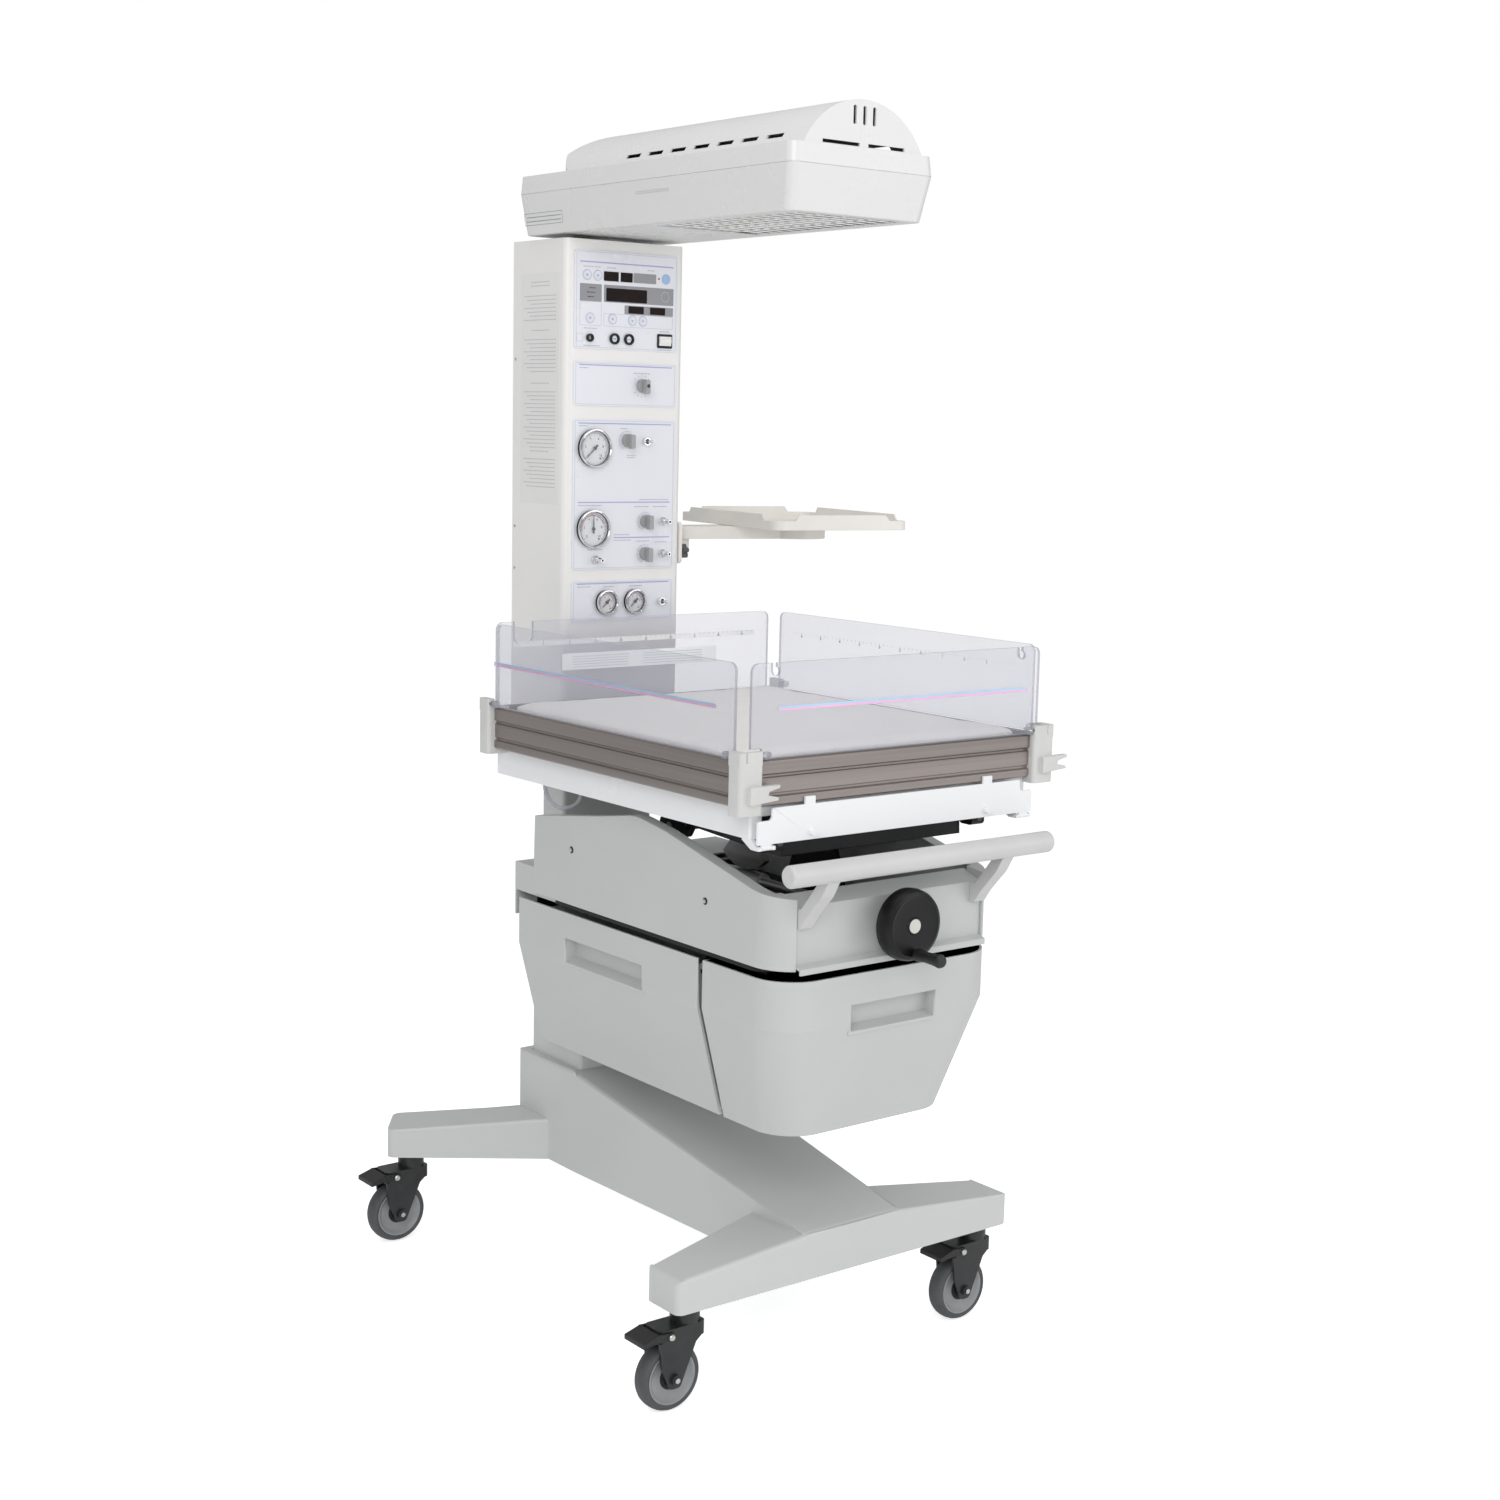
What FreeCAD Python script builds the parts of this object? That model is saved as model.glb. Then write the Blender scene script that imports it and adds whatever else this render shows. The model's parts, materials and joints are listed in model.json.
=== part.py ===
import FreeCAD, Part
import math
import os
from FreeCAD import Vector

# Infant radiant warmer: an H base on four braked casters, a post that carries a drawer unit, a tilting
# bassinet with clear fold-down sides, an instrument column, a swinging shelf and a turning heater hood.
# Working frame in mm: X to the right, Y to the back, Z up; X = 0 is the middle plane, Y = 0 is the
# front face of the column and Z = 0 is the floor.  At export everything moves so that the footprint's
# centre lies over the origin.

# --- clearances ---------------------------------------------------------------------------------
runGap = 0.05          # radial play of a shaft or pin in its hole
seatGap = 0.3          # gap between pieces on different bodies that rest or run on each other
sheet = 2.5            # folded steel of the column
skin = 3.0             # moulded plastic walls

# --- casters ------------------------------------------------------------------------------------
wheelRadius = 51.0
wheelHalf = 15.0
tyreDepth = 11.0
axleRadius = 5.0
stemRadius = 6.0
stemLength = 36.0      # part of the stem inside the base leg
trail = 30.0           # from the swivel axis back to the wheel's axle
cheekGap = 2.5         # wheel side to fork cheek
cheekThick = 3.5
pedalPinRadius = 3.0

# --- base ---------------------------------------------------------------------------------------
legHalf = 324.0        # half width over the legs
baseBottom = 153.0
legEndTop = 203.0
beamFrontTop = 223.0
hubTop = 326.0
baseFront = -632.0
hubFront = -46.0
hubRear = 140.0
hubHalf = 114.0
beamHalf = 94.0
legWidth = 77.0
legRootWidth = 127.0
castingWall = 6.0
bossRadius = 18.0      # around each caster stem
rearTip = (337.0, 193.0)
rearHeel = (290.0, 256.0)
rearRootX = 80.0
rearRootFront = 9.0
rearRootBack = 105.0
stemX = 284.0
stemFrontY = -594.0
stemRearY = 205.0

# --- post and mast ------------------------------------------------------------------------------
postHalf = 100.0
postFront = -40.0
postRear = 110.0
postWall = 4.0
mastHalf = 90.0
mastFront = 34.0
mastRear = 100.0

# --- column -------------------------------------------------------------------------------------
columnHalf = 117.0
columnDepth = 159.0
columnBottom = 830.0
columnTop = 1690.0
columnRound = 12.0
plateThick = 2.0
moduleHalf = 102.0
moduleSpans = [(1517.0, 1673.0), (1426.0, 1497.0), (1160.0, 1405.0), (1074.0, 1142.0)]

# --- drawer unit --------------------------------------------------------------------------------
bodyHalf = 210.0       # outer face of the shrouds and drawers
bodyFront = -706.0
bodyRound = 65.0
deckBottom = 640.0
deckTop = 650.0
deckFront = -657.0
drawerTop = 632.0
drawerBreak = 560.0    # the drawer faces lean inwards below this line
drawerBottom = 388.0
drawerLean = 45.0
drawerWall = 4.0
sideDrawerRear = -20.0
sideDrawerFront = -510.0
frontDrawerRear = -521.0
railTop = 611.7
recessTop = 590.0
recessBottom = 551.0
recessDepth = 22.0
shroudBottom = 647.0
shroudRear = -62.0
shroudLip = 22.0
panelHalf = 178.0      # half width of the recessed front panel
panelFace = -692.0

# --- tilt drive ---------------------------------------------------------------------------------
tiltY = -350.0
tiltZ = 795.0
tiltAxleRadius = 8.0
bracketX = 140.0
bracketThick = 8.0
shaftZ = 700.0
shaftRadius = 8.0
wormRadius = 14.0
wormGap = 1.0
wheelRimRadius = 52.0
gripOffset = 40.0

# --- push handle --------------------------------------------------------------------------------
barHalf = 248.0
barY = -759.0
barZ = 801.0
barRadius = 16.0
armX = 166.0
armHalf = 11.0

# --- bassinet -----------------------------------------------------------------------------------
trayHalf = 262.0
trayFront = -692.0
trayRear = -34.0
trayBottom = 843.0
trayTop = 889.0
railOuter = 287.0
railThick = 15.0
railTopZ = 953.0
railFront = -704.0
railRear = -39.0
postOuter = 298.0
postInner = 257.0
cornerFront = -714.0
cornerRear = -38.0
cornerDepth = 29.0
capTop = 967.0
boardThick = 6.0
mattressTop = 958.0
clearThick = 5.0
clearBottom = 955.0
clearTop = 1085.0
foldX = 293.0
foldY = -709.0
foldZ = 960.0
foldPin = 3.0
doorHalf = 261.0
doorHingeY = -706.0
doorHingeZ = 832.0
doorTop = 887.0
doorShoulder = 870.0    # the door's ends are lower, under the corner posts
mouthTop = 873.5       # of the opening in the tray's front

# --- hood ---------------------------------------------------------------------------------------
hoodPivotY = 80.0
spigotRadius = 25.0
hoodBottom = 1697.0
hoodSeam = 1762.0
hoodDeck = 1790.0
domePeak = 1857.0
domeHalf = 109.6
openingHalf = 98.0
openingFront = -560.0
openingRear = -215.0

# --- shelf --------------------------------------------------------------------------------------
armPivot = (160.0, 60.0)
shelfCentre = (378.0, 25.0)
shelfTurn = -10.0
shelfWidth = 264.0
shelfDepth = 365.0
shelfBottom = 1227.3
shelfRim = 1253.0
shelfNotch = 1243.0
armBottom = 1205.3
shelfPin = 8.0

# --- instruments, as (x, z) on the column's face --------------------------------------------------
largeGauges = [(-62.5, 1358.0), (-63.5, 1227.0)]
smallGauges = [(-35.0, 1106.0), (21.6, 1106.0)]
largeGaugeRadius = 30.5
smallGaugeRadius = 20.0
needleRests = [225.0, 90.0, 225.0, 225.0]     # degrees from +X towards +Z
knobs = [(31.5, 1460.4), (3.5, 1371.0), (42.5, 1238.5), (42.0, 1184.8)]
toggles = [(40.0, 1370.0), (75.3, 1104.5)]
nozzles = [(76.7, 1238.2), (76.5, 1184.5), (-57.5, 1176.5)]
powerSwitch = (76.0, 1534.5)
sockets = [(-73.0, 1534.5, 6.5), (-25.0, 1534.5, 9.0), (3.5, 1534.5, 9.0)]
windows = [(-46.0, 10.0, 1626.0, 1641.0), (-41.0, 39.0, 1594.0, 1615.0),
           (3.0, 33.0, 1576.5, 1588.0), (46.0, 76.0, 1576.5, 1588.0)]

# --- hose: hand-chosen points from one fitting under the bassinet tray to the other -----------------
hoseRadius = 3.5
hoseRoute = [(-176, -40, 835), (-176, -40, 813), (-177, -56, 795), (-179, -83, 787),
             (-179, -110, 789), (-177, -135, 798), (-176, -151, 814), (-176, -151, 835)]


# --- shape helpers ------------------------------------------------------------------------------
def spot(axis, level, u, v):
    """A point at a level along the axis; u and v run along the other two axes in X, Y, Z order."""
    if axis == "X":
        return Vector(level, u, v)
    if axis == "Y":
        return Vector(u, level, v)
    return Vector(u, v, level)


def box(x0, x1, y0, y1, z0, z1):
    return Part.makeBox(x1 - x0, y1 - y0, z1 - z0, Vector(x0, y0, z0))


def mirrored(solid):
    return solid.mirror(Vector(0, 0, 0), Vector(1, 0, 0))


def rod(axis, start, end, u, v, radius):
    """A round bar along an axis between two levels."""
    base = spot(axis, start, u, v)
    return Part.makeCylinder(radius, end - start, base, spot(axis, 1, 0, 0))


def tube(axis, start, end, u, v, outer, inner):
    return rod(axis, start, end, u, v, outer).cut(rod(axis, start - 1, end + 1, u, v, inner))


def outline(axis, level, points, radii):
    """A closed wire through corner points, each corner rounded by its own radius."""
    if not isinstance(radii, list):
        radii = [radii] * len(points)
    corners = []
    for i, point in enumerate(points):
        here = Vector(point[0], point[1], 0)
        back = Vector(*points[i - 1], 0) - here
        ahead = Vector(*points[(i + 1) % len(points)], 0) - here
        back.normalize()
        ahead.normalize()
        if radii[i] == 0:
            corners.append((here, None, here))
            continue
        half = back.getAngle(ahead) / 2
        reach = radii[i] / math.tan(half)
        bisector = back + ahead
        bisector.normalize()
        middle = here + bisector * (radii[i] / math.sin(half) - radii[i])
        corners.append((here + back * reach, middle, here + ahead * reach))
    edges = []
    for i, (enter, middle, leave) in enumerate(corners):
        if middle is not None:
            edges.append(Part.Arc(*[spot(axis, level, p.x, p.y) for p in (enter, middle, leave)]).toShape())
        start = corners[(i + 1) % len(corners)][0]
        if leave.distanceToPoint(start) > 1e-6:
            edges.append(Part.makeLine(spot(axis, level, leave.x, leave.y),
                                       spot(axis, level, start.x, start.y)))
    return Part.Wire(edges)


def slab(axis, start, end, points, radii=0):
    """A flat piece of the given outline between two levels of an axis."""
    face = Part.Face(outline(axis, start, points, radii))
    return face.extrude(spot(axis, end - start, 0, 0))


def rectangle(u0, u1, v0, v1):
    return [(u0, v0), (u1, v0), (u1, v1), (u0, v1)]


def loft(axis, sections):
    """A ruled solid through outlines, each given as (level, points, radii)."""
    return Part.makeLoft([outline(axis, *section) for section in sections], True, True)


def turned(axis, u, v, profile):
    """A body of revolution: the profile holds (radius, level) points about an axis line at (u, v)."""
    side = {"X": "Z", "Y": "X", "Z": "X"}[axis]
    reach = {"X": Vector(0, 0, 1), "Y": Vector(1, 0, 0), "Z": Vector(1, 0, 0)}[axis]
    centre = spot(axis, 0, u, v)
    along = spot(axis, 1, 0, 0)
    points = [centre + reach * radius + along * level for radius, level in profile]
    face = Part.Face(Part.makePolygon(points + points[:1]))
    return face.revolve(centre, along, 360)


def fused(shapes):
    return shapes[0].multiFuse(shapes[1:]).removeSplitter()


# --- casters ------------------------------------------------------------------------------------
def casterFork():
    """Swivel head, crown, two cheeks, axle with nuts and the brake pedal's pin, as one piece at X=Y=0."""
    inner = wheelHalf + cheekGap
    outer = inner + cheekThick
    crownBottom = 2 * wheelRadius + 6
    crownTop = crownBottom + 20
    cheek = [(18, crownBottom + 2), (6, 100), (-trail + 9, wheelRadius - 14),
             (-trail - 9, wheelRadius - 14), (-54, 72), (-58, crownBottom + 2)]
    pieces = [rod("Z", crownTop, baseBottom - seatGap, 0, 0, 22),
              rod("Z", crownTop, baseBottom + stemLength, 0, 0, stemRadius),
              slab("Z", crownBottom, crownTop, rectangle(-58, 24, -outer, outer), 9),
              rod("Y", -outer - 6, outer + 6, -trail, wheelRadius, axleRadius),
              rod("Y", -outer - 5, -outer, -trail, wheelRadius, 8),
              rod("Y", outer, outer + 5, -trail, wheelRadius, 8),
              rod("Y", -outer - 5, outer + 5, -40, crownBottom + 10, pedalPinRadius)]
    for low, high in ((inner, outer), (-outer, -inner)):
        pieces.append(slab("Y", low, high, cheek, [0, 8, 8, 8, 8, 0]))
    return fused(pieces)


def casterWheel():
    """Grey wheel core with a raised hub and rim, and the tyre around it."""
    rim = wheelRadius - tyreDepth
    hub = wheelHalf + cheekGap - 1
    core = [(axleRadius + runGap, -hub), (13, -hub), (14, -8), (rim - 6, -7), (rim - 4, -13), (rim, -13),
            (rim, 13), (rim - 4, 13), (rim - 6, 7), (14, 8), (13, hub), (axleRadius + runGap, hub)]
    tyre = [(rim, -13), (rim + 4, -wheelHalf), (wheelRadius - 5, -wheelHalf + 1), (wheelRadius - 1.2, -9),
            (wheelRadius, -4), (wheelRadius, 4), (wheelRadius - 1.2, 9), (wheelRadius - 5, wheelHalf - 1),
            (rim + 4, wheelHalf), (rim, 13)]
    return [turned("Y", -trail, wheelRadius, profile) for profile in (core, tyre)]


def brakePedal():
    """A broad tongue held by two arms that turn on the fork's pin."""
    inner = wheelHalf + cheekGap + cheekThick + 0.5
    outer = inner + 3
    pinZ = 2 * wheelRadius + 16
    tongue = slab("Y", -outer, outer, [(-61, pinZ - 3), (-61, pinZ + 8), (-88, pinZ), (-88, pinZ - 7)])
    arm = [(-33, pinZ - 6), (-33, pinZ + 6), (-64, pinZ + 8), (-64, pinZ - 3)]
    pieces = [tongue]
    for low, high in ((inner, outer), (-outer, -inner)):
        pieces.append(slab("Y", low, high, arm, [5, 5, 0, 0]))
    return fused(pieces).cut(rod("Y", -outer - 1, outer + 1, -40, pinZ, pedalPinRadius + runGap))


# --- base, post and mast ------------------------------------------------------------------------
def baseCasting(inset, bottom):
    """Beam, front leg and rear legs, moved in by inset on every side but the bottom."""
    side = [(baseFront + inset, bottom), (baseFront + inset, beamFrontTop - inset),
            (hubFront, hubTop - inset), (hubRear - inset, hubTop - inset), (hubRear - inset, bottom)]
    narrow, wide = beamHalf - inset, hubHalf - inset
    plan = [(-narrow, baseFront), (narrow, baseFront), (wide, hubFront), (wide, hubRear), (-wide, hubRear),
            (-wide, hubFront)]
    beam = slab("X", -hubHalf, hubHalf, side, [0, 12, 60, 14, 0])
    beam = beam.common(slab("Z", bottom, hubTop, plan, [0, 0, 60, 20, 20, 60]))
    half, front, back = legHalf - inset, baseFront + inset, baseFront + legWidth - inset
    crown = [(-half, bottom), (half, bottom), (half, legEndTop - inset), (beamHalf, beamFrontTop - inset),
             (-beamHalf, beamFrontTop - inset), (-half, legEndTop - inset)]
    foot = [(-half, front), (half, front), (half, back), (beamHalf, baseFront + legRootWidth - inset),
            (-beamHalf, baseFront + legRootWidth - inset), (-half, back)]
    frontLeg = slab("Y", front, baseFront + legRootWidth, crown, [0, 0, 10, 0, 0, 10])
    frontLeg = frontLeg.common(slab("Z", bottom, beamFrontTop, foot, [12, 12, 12, 0, 0, 12]))
    tip, heel = Vector(*rearTip, 0), Vector(*rearHeel, 0)
    along = (tip - Vector(rearRootX, rearRootFront, 0)).normalize() * inset
    across = (heel - tip).normalize() * inset
    spread = inset * 1.25
    rearPlan = [(rearRootX, rearRootFront + spread), (tip - along + across), (heel - along - across),
                (rearRootX, rearRootBack - spread)]
    rearPlan = [(p[0], p[1]) for p in rearPlan]
    rearCrown = [(60, bottom), (345, bottom), (345, legEndTop - 2 - inset), (hubHalf, beamFrontTop - inset),
                 (60, beamFrontTop - inset)]
    rearLeg = slab("Z", bottom, beamFrontTop, rearPlan, [0, 12, 12, 0])
    rearLeg = rearLeg.common(slab("Y", 0, rearHeel[1] + 10, rearCrown))
    return fused([beam, frontLeg, rearLeg, mirrored(rearLeg)])


def squareTube(half, front, rear, bottom, top):
    """Welded box section with closed ends."""
    w = postWall
    room = box(-half + w, half - w, front + w, rear - w, bottom + w, top - w)
    return box(-half, half, front, rear, bottom, top).cut(room)


def baseFrame():
    casting = baseCasting(0, baseBottom).cut(baseCasting(castingWall, baseBottom - 1))
    bosses = [rod("Z", baseBottom, legEndTop - 2, x, y, bossRadius) for x, y in casterSpots().values()]
    post = squareTube(postHalf, postFront, postRear, hubTop - castingWall, deckBottom)
    mast = squareTube(mastHalf, mastFront, mastRear, deckBottom - postWall, columnTop - skin)
    frame = fused([casting] + bosses + [post, mast])
    holes = [rod("Z", baseBottom - 1, baseBottom + stemLength + 1, x, y, stemRadius + runGap)
             for x, y in casterSpots().values()]
    return frame.cut(Part.makeCompound(holes))


def casterSpots():
    return {"fl": (-stemX, stemFrontY), "fr": (stemX, stemFrontY),
            "rl": (-stemX, stemRearY), "rr": (stemX, stemRearY)}


# --- drawer unit --------------------------------------------------------------------------------
def chassis():
    """Deck, drawer runners, tilt brackets and the shaft's bearing blocks, welded together."""
    edge = bodyHalf - skin - seatGap
    deckPlan = [(-edge, deckFront), (edge, deckFront), (edge, -124), (200, -124), (200, -4), (-200, -4),
                (-200, -124), (-edge, -124)]
    pieces = [slab("Z", deckBottom, deckTop, deckPlan, [30, 30, 0, 0, 0, 0, 0, 0]),
              box(-196, 196, sideDrawerFront - 2, sideDrawerFront + 2, drawerBreak, deckBottom),
              box(-6, 6, sideDrawerFront, -54, 606, deckBottom)]
    for side in (-1, 1):
        inner, outer = sorted((side * 20, side * 196))
        pieces.append(box(inner, outer, -56, -53, railTop - 6, deckBottom))
        pieces.append(box(inner, outer, -61.5, -53, railTop - 6, railTop))
        pieces.append(box(inner, outer, sideDrawerFront, sideDrawerFront + 11, railTop - 6, railTop))
        inner, outer = sorted((side * 184, side * 187))
        pieces.append(box(inner, outer, -640, sideDrawerFront, 614, deckBottom))
        inner, outer = sorted((side * 184, side * 200))
        pieces.append(box(inner, outer, -640, sideDrawerFront, 614, 620 - seatGap))
        inner, outer = sorted((side * bracketX, side * (bracketX + bracketThick)))
        bracket = [(tiltY - 80, deckTop - 1), (tiltY + 80, deckTop - 1), (tiltY + 22, tiltZ + 20),
                   (tiltY - 22, tiltZ + 20)]
        pieces.append(slab("X", inner, outer, bracket, [0, 0, 15, 15]))
    for y in (-600, -300):
        pieces.append(slab("X", -16, 16, rectangle(y, y + 16, deckTop - 1, shaftZ + 20)))
    frame = fused(pieces)
    frame = frame.cut(rod("X", -200, 200, tiltY, tiltZ, tiltAxleRadius + runGap))
    return frame.cut(rod("Y", -620, -280, 0, shaftZ, shaftRadius + runGap))


def shroudSide(inset):
    """Side profile of the shroud; the crest rises over the tilt axle."""
    b, r, f = shroudBottom, shroudRear, bodyFront + inset
    top = [(r - 4, 774), (-258, 803), (-346, 818), (-425, 806), (-637, 757), (f, 749)]
    points = [(f, b - 10 * (inset > 0)), (r + 4 * (inset > 0), b - 10 * (inset > 0))]
    points += [(y + 5 * (inset > 0 and i == 0), z - inset) for i, (y, z) in enumerate(top)]
    return points, [0, 0, 0, 200, 120, 200, 200, 10]


def shroud():
    """Left shroud: outer wall, top lip and the rounded front corner with its inner return."""
    def filled(inset, innerX):
        points, radii = shroudSide(inset)
        side = slab("X", -bodyHalf + inset, innerX, points, radii)
        plan = [(-bodyHalf + inset, bodyFront + inset), (0, bodyFront + inset), (0, 0),
                (-bodyHalf + inset, 0)]
        return side.common(slab("Z", 600, 900, plan, [bodyRound - inset, 0, 0, 0]))
    outer = filled(0, -panelHalf)
    outer = outer.cut(box(-bodyHalf + shroudLip, 0, -660, 0, 600, 900))
    return outer.cut(filled(skin, -panelHalf - skin))


def frontPanel():
    """Recessed panel between the shroud corners, with a lower lip and a sloping top."""
    f, p = bodyFront, panelFace
    profile = [(f, 643), (f, 652), (p, 656), (p, 738), (-655, 750), (-655, 747), (p + skin, 736),
               (p + skin, 653), (f + skin, 649), (f + skin, 643)]
    panel = slab("X", -panelHalf + seatGap, panelHalf - seatGap, profile)
    return panel.cut(rod("Y", f, -680, 0, shaftZ, shaftRadius + runGap))


def sideDrawer():
    """Left drawer: leaning face with a finger recess, an open tray and the runner flanges."""
    x, lean = -bodyHalf, drawerLean
    face = [(x, drawerTop), (x, drawerBreak), (x + lean, drawerBottom), (x + lean + 5, drawerBottom),
            (x + drawerWall, drawerBreak + 1), (x + drawerWall, drawerTop)]
    front, rear = sideDrawerFront + 12, sideDrawerRear - 42
    tray = [(x + 3, 620), (x + 3, drawerBreak), (x + lean + 3, drawerBottom + 3), (-20, drawerBottom + 3),
            (-20, 620)]
    hollow = [(x + 7, 640), (x + 7, drawerBreak + 1), (x + lean + 7, drawerBottom + 7),
              (-24, drawerBottom + 7), (-24, 640)]
    pieces = [slab("Y", sideDrawerFront, sideDrawerRear, face),
              slab("Y", front, rear, tray).cut(slab("Y", front + skin, rear - skin, hollow)),
              box(-195, -20, front - 6, front + 1, railTop + seatGap, railTop + 3.3),
              box(-195, -20, rear - 1, rear + 6, railTop + seatGap, railTop + 3.3),
              box(x + 2, x + recessDepth + 3, -371, -154, recessBottom - 4, recessTop + 4)]
    drawer = fused(pieces)
    pocket = [(x - 10, recessTop), (x - 10, recessBottom - 6), (x, recessBottom),
              (x + recessDepth, recessBottom + 8), (x + recessDepth, recessTop)]
    return drawer.cut(slab("Y", -367, -158, pocket))


def drawerPlan(inset, lean):
    half = bodyHalf - inset - lean
    front = bodyFront + inset + lean
    rear = frontDrawerRear - inset
    return rectangle(-half, half, front, rear), [bodyRound - inset, bodyRound - inset, 1, 1]


def frontDrawer():
    """Open tub whose face wraps both front corners; its rim flanges run on the hanging rails."""
    def filled(inset, bottom, top):
        upper = slab("Z", drawerBreak, top, *drawerPlan(inset, 0))
        lower = loft("Z", [(bottom, *drawerPlan(inset, drawerLean)), (drawerBreak, *drawerPlan(inset, 0))])
        return upper.fuse(lower)
    tub = filled(0, drawerBottom, drawerTop).cut(filled(drawerWall, drawerBottom + 4, drawerTop + 10))
    pocketShell = box(-84, 84, bodyFront + 2, bodyFront + recessDepth + 3, recessBottom - 8, recessTop)
    pieces = [tub, pocketShell]
    for low, high in ((188, 207), (-207, -188)):
        pieces.append(box(low, high, -640, frontDrawerRear, 620, 623))
    tub = fused(pieces)
    for side in (-1, 1):
        low, high = sorted((side * 181, side * 203))
        tub = tub.cut(box(low, high, frontDrawerRear - 10, frontDrawerRear + 1, 610, 620))
        low, high = sorted((side * 181, side * 187.5))
        tub = tub.cut(box(low, high, frontDrawerRear - 10, frontDrawerRear + 1, 610, 640))
    pocket = [(bodyFront - 10, recessTop - 4), (bodyFront - 10, recessBottom - 10),
              (bodyFront, recessBottom - 4), (bodyFront + recessDepth, recessBottom + 2),
              (bodyFront + recessDepth, recessTop - 4)]
    return tub.cut(slab("X", -80, 80, pocket))


def pushHandle():
    """Round bar on two curved flat arms that bolt to the recessed front panel."""
    bar = rod("X", -barHalf, barHalf, barY, barZ, barRadius)
    bar = bar.makeFillet(5, [e for e in bar.Edges if e.Curve.TypeId == "Part::GeomCircle"])
    arm = [(panelFace, 738), (panelFace, 708), (panelFace - 10, 708), (panelFace - 24, 728),
           (barY + 12, 762), (barY - 6, barZ - 8), (barY + 12, barZ - 8), (barY + 32, 768),
           (panelFace - 10, 738)]
    pieces = [bar]
    for centre in (-armX, armX):
        pieces.append(slab("X", centre - armHalf, centre + armHalf, arm, [0, 0, 8, 16, 25, 0, 0, 25, 5]))
    return fused(pieces)


def handwheel():
    rim = wheelRimRadius
    profile = [(shaftRadius, -712), (16, -712), (18, -717), (rim - 12, -719), (rim - 3, -716), (rim, -720),
               (rim + 1, -728), (rim, -738), (rim - 3, -744), (rim - 8, -746), (rim - 12, -744.5),
               (22, -743), (13, -743), (12, -744.5), (0, -744.5), (0, -738), (shaftRadius, -738)]
    wheel = turned("Y", 0, shaftZ, profile)
    return wheel.fuse(rod("Y", -798, -730, 0, shaftZ - gripOffset, 4)).removeSplitter()


def crankGrip():
    r = 4 + runGap
    profile = [(r, -749), (8, -749), (9.5, -753), (8, -770), (8.5, -788), (10, -799), (8, -804), (0, -805),
               (0, -799), (r, -799)]
    return turned("Y", 0, shaftZ - gripOffset, profile)


def driveShaft():
    """Shaft with its worm, a collar behind the front bearing and one behind the rear bearing."""
    return fused([rod("Y", -738, -276, 0, shaftZ, shaftRadius),
                  rod("Y", tiltY - 45, tiltY + 45, 0, shaftZ, wormRadius),
                  rod("Y", -583.7, -576, 0, shaftZ, 12),
                  rod("Y", -283.7, -276, 0, shaftZ, 12)])


def tiltQuadrant():
    """Tilt axle, the two cradle plates under the tray and the quadrant that meets the worm."""
    reach = tiltZ - shaftZ - wormRadius - wormGap
    spread = math.radians(42)
    sector = [(tiltY - reach * math.sin(spread), tiltZ - reach * math.cos(spread)),
              (tiltY, tiltZ - reach), (tiltY + reach * math.sin(spread), tiltZ - reach * math.cos(spread))]
    arc = Part.Arc(*[Vector(-5, y, z) for y, z in sector]).toShape()
    hub = Vector(-5, tiltY, tiltZ)
    ends = [Part.makeLine(Vector(-5, *sector[2]), hub), Part.makeLine(hub, Vector(-5, *sector[0]))]
    quadrant = Part.Face(Part.Wire([arc] + ends)).extrude(Vector(10, 0, 0))
    pieces = [rod("X", -bracketX - bracketThick - 2, bracketX + bracketThick + 2, tiltY, tiltZ, tiltAxleRadius),
              rod("X", -9, 9, tiltY, tiltZ, 20), quadrant]
    cradle = [(tiltY - 60, trayBottom), (tiltY - 18, tiltZ - 16), (tiltY + 18, tiltZ - 16),
              (tiltY + 60, trayBottom)]
    for low, high in ((120, 128), (-128, -120)):
        pieces.append(slab("X", low, high, cradle, [0, 12, 12, 0]))
    return fused(pieces)


# --- column -------------------------------------------------------------------------------------
def faceHoles():
    """Every hole through the instrument plates and the column's front, as (x, z, radius)."""
    holes = [(x, z, 22.5) for x, z in largeGauges] + [(x, z, 14.5) for x, z in smallGauges]
    return holes + [(x, z, pedalPinRadius + runGap) for x, z in knobs]


def switchHole():
    x, z = powerSwitch
    return box(x - 12, x + 12, -20, sheet + 1, z - 8.5, z + 8.5)


def pierced(solid):
    """The solid with the instrument holes cut through it."""
    cutters = [rod("Y", -20, sheet + 1, x, z, radius) for x, z, radius in faceHoles()]
    return solid.cut(Part.makeCompound(cutters + [switchHole()]))


def columnShell():
    outer = slab("Z", columnBottom, columnTop,
                 [(-columnHalf, 0), (columnHalf, 0), (columnHalf, columnDepth), (-columnHalf, columnDepth)],
                 [columnRound, columnRound, 1, 1])
    half = columnHalf - sheet
    inner = slab("Z", columnBottom + skin, columnTop - skin,
                 [(-half, sheet), (half, sheet), (half, columnDepth + 1), (-half, columnDepth + 1)],
                 [columnRound - sheet, columnRound - sheet, 0, 0])
    shell = outer.cut(inner)
    shell = shell.cut(box(-mastHalf, mastHalf, mastFront, mastRear, columnBottom - 1, columnBottom + 10))
    turntable = rod("Z", columnTop, hoodBottom - seatGap, 0, hoodPivotY, 45)
    turntable = turntable.fuse(rod("Z", columnTop, hoodBottom + 16, 0, hoodPivotY, spigotRadius))
    return [pierced(shell), turntable.removeSplitter()]


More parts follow.
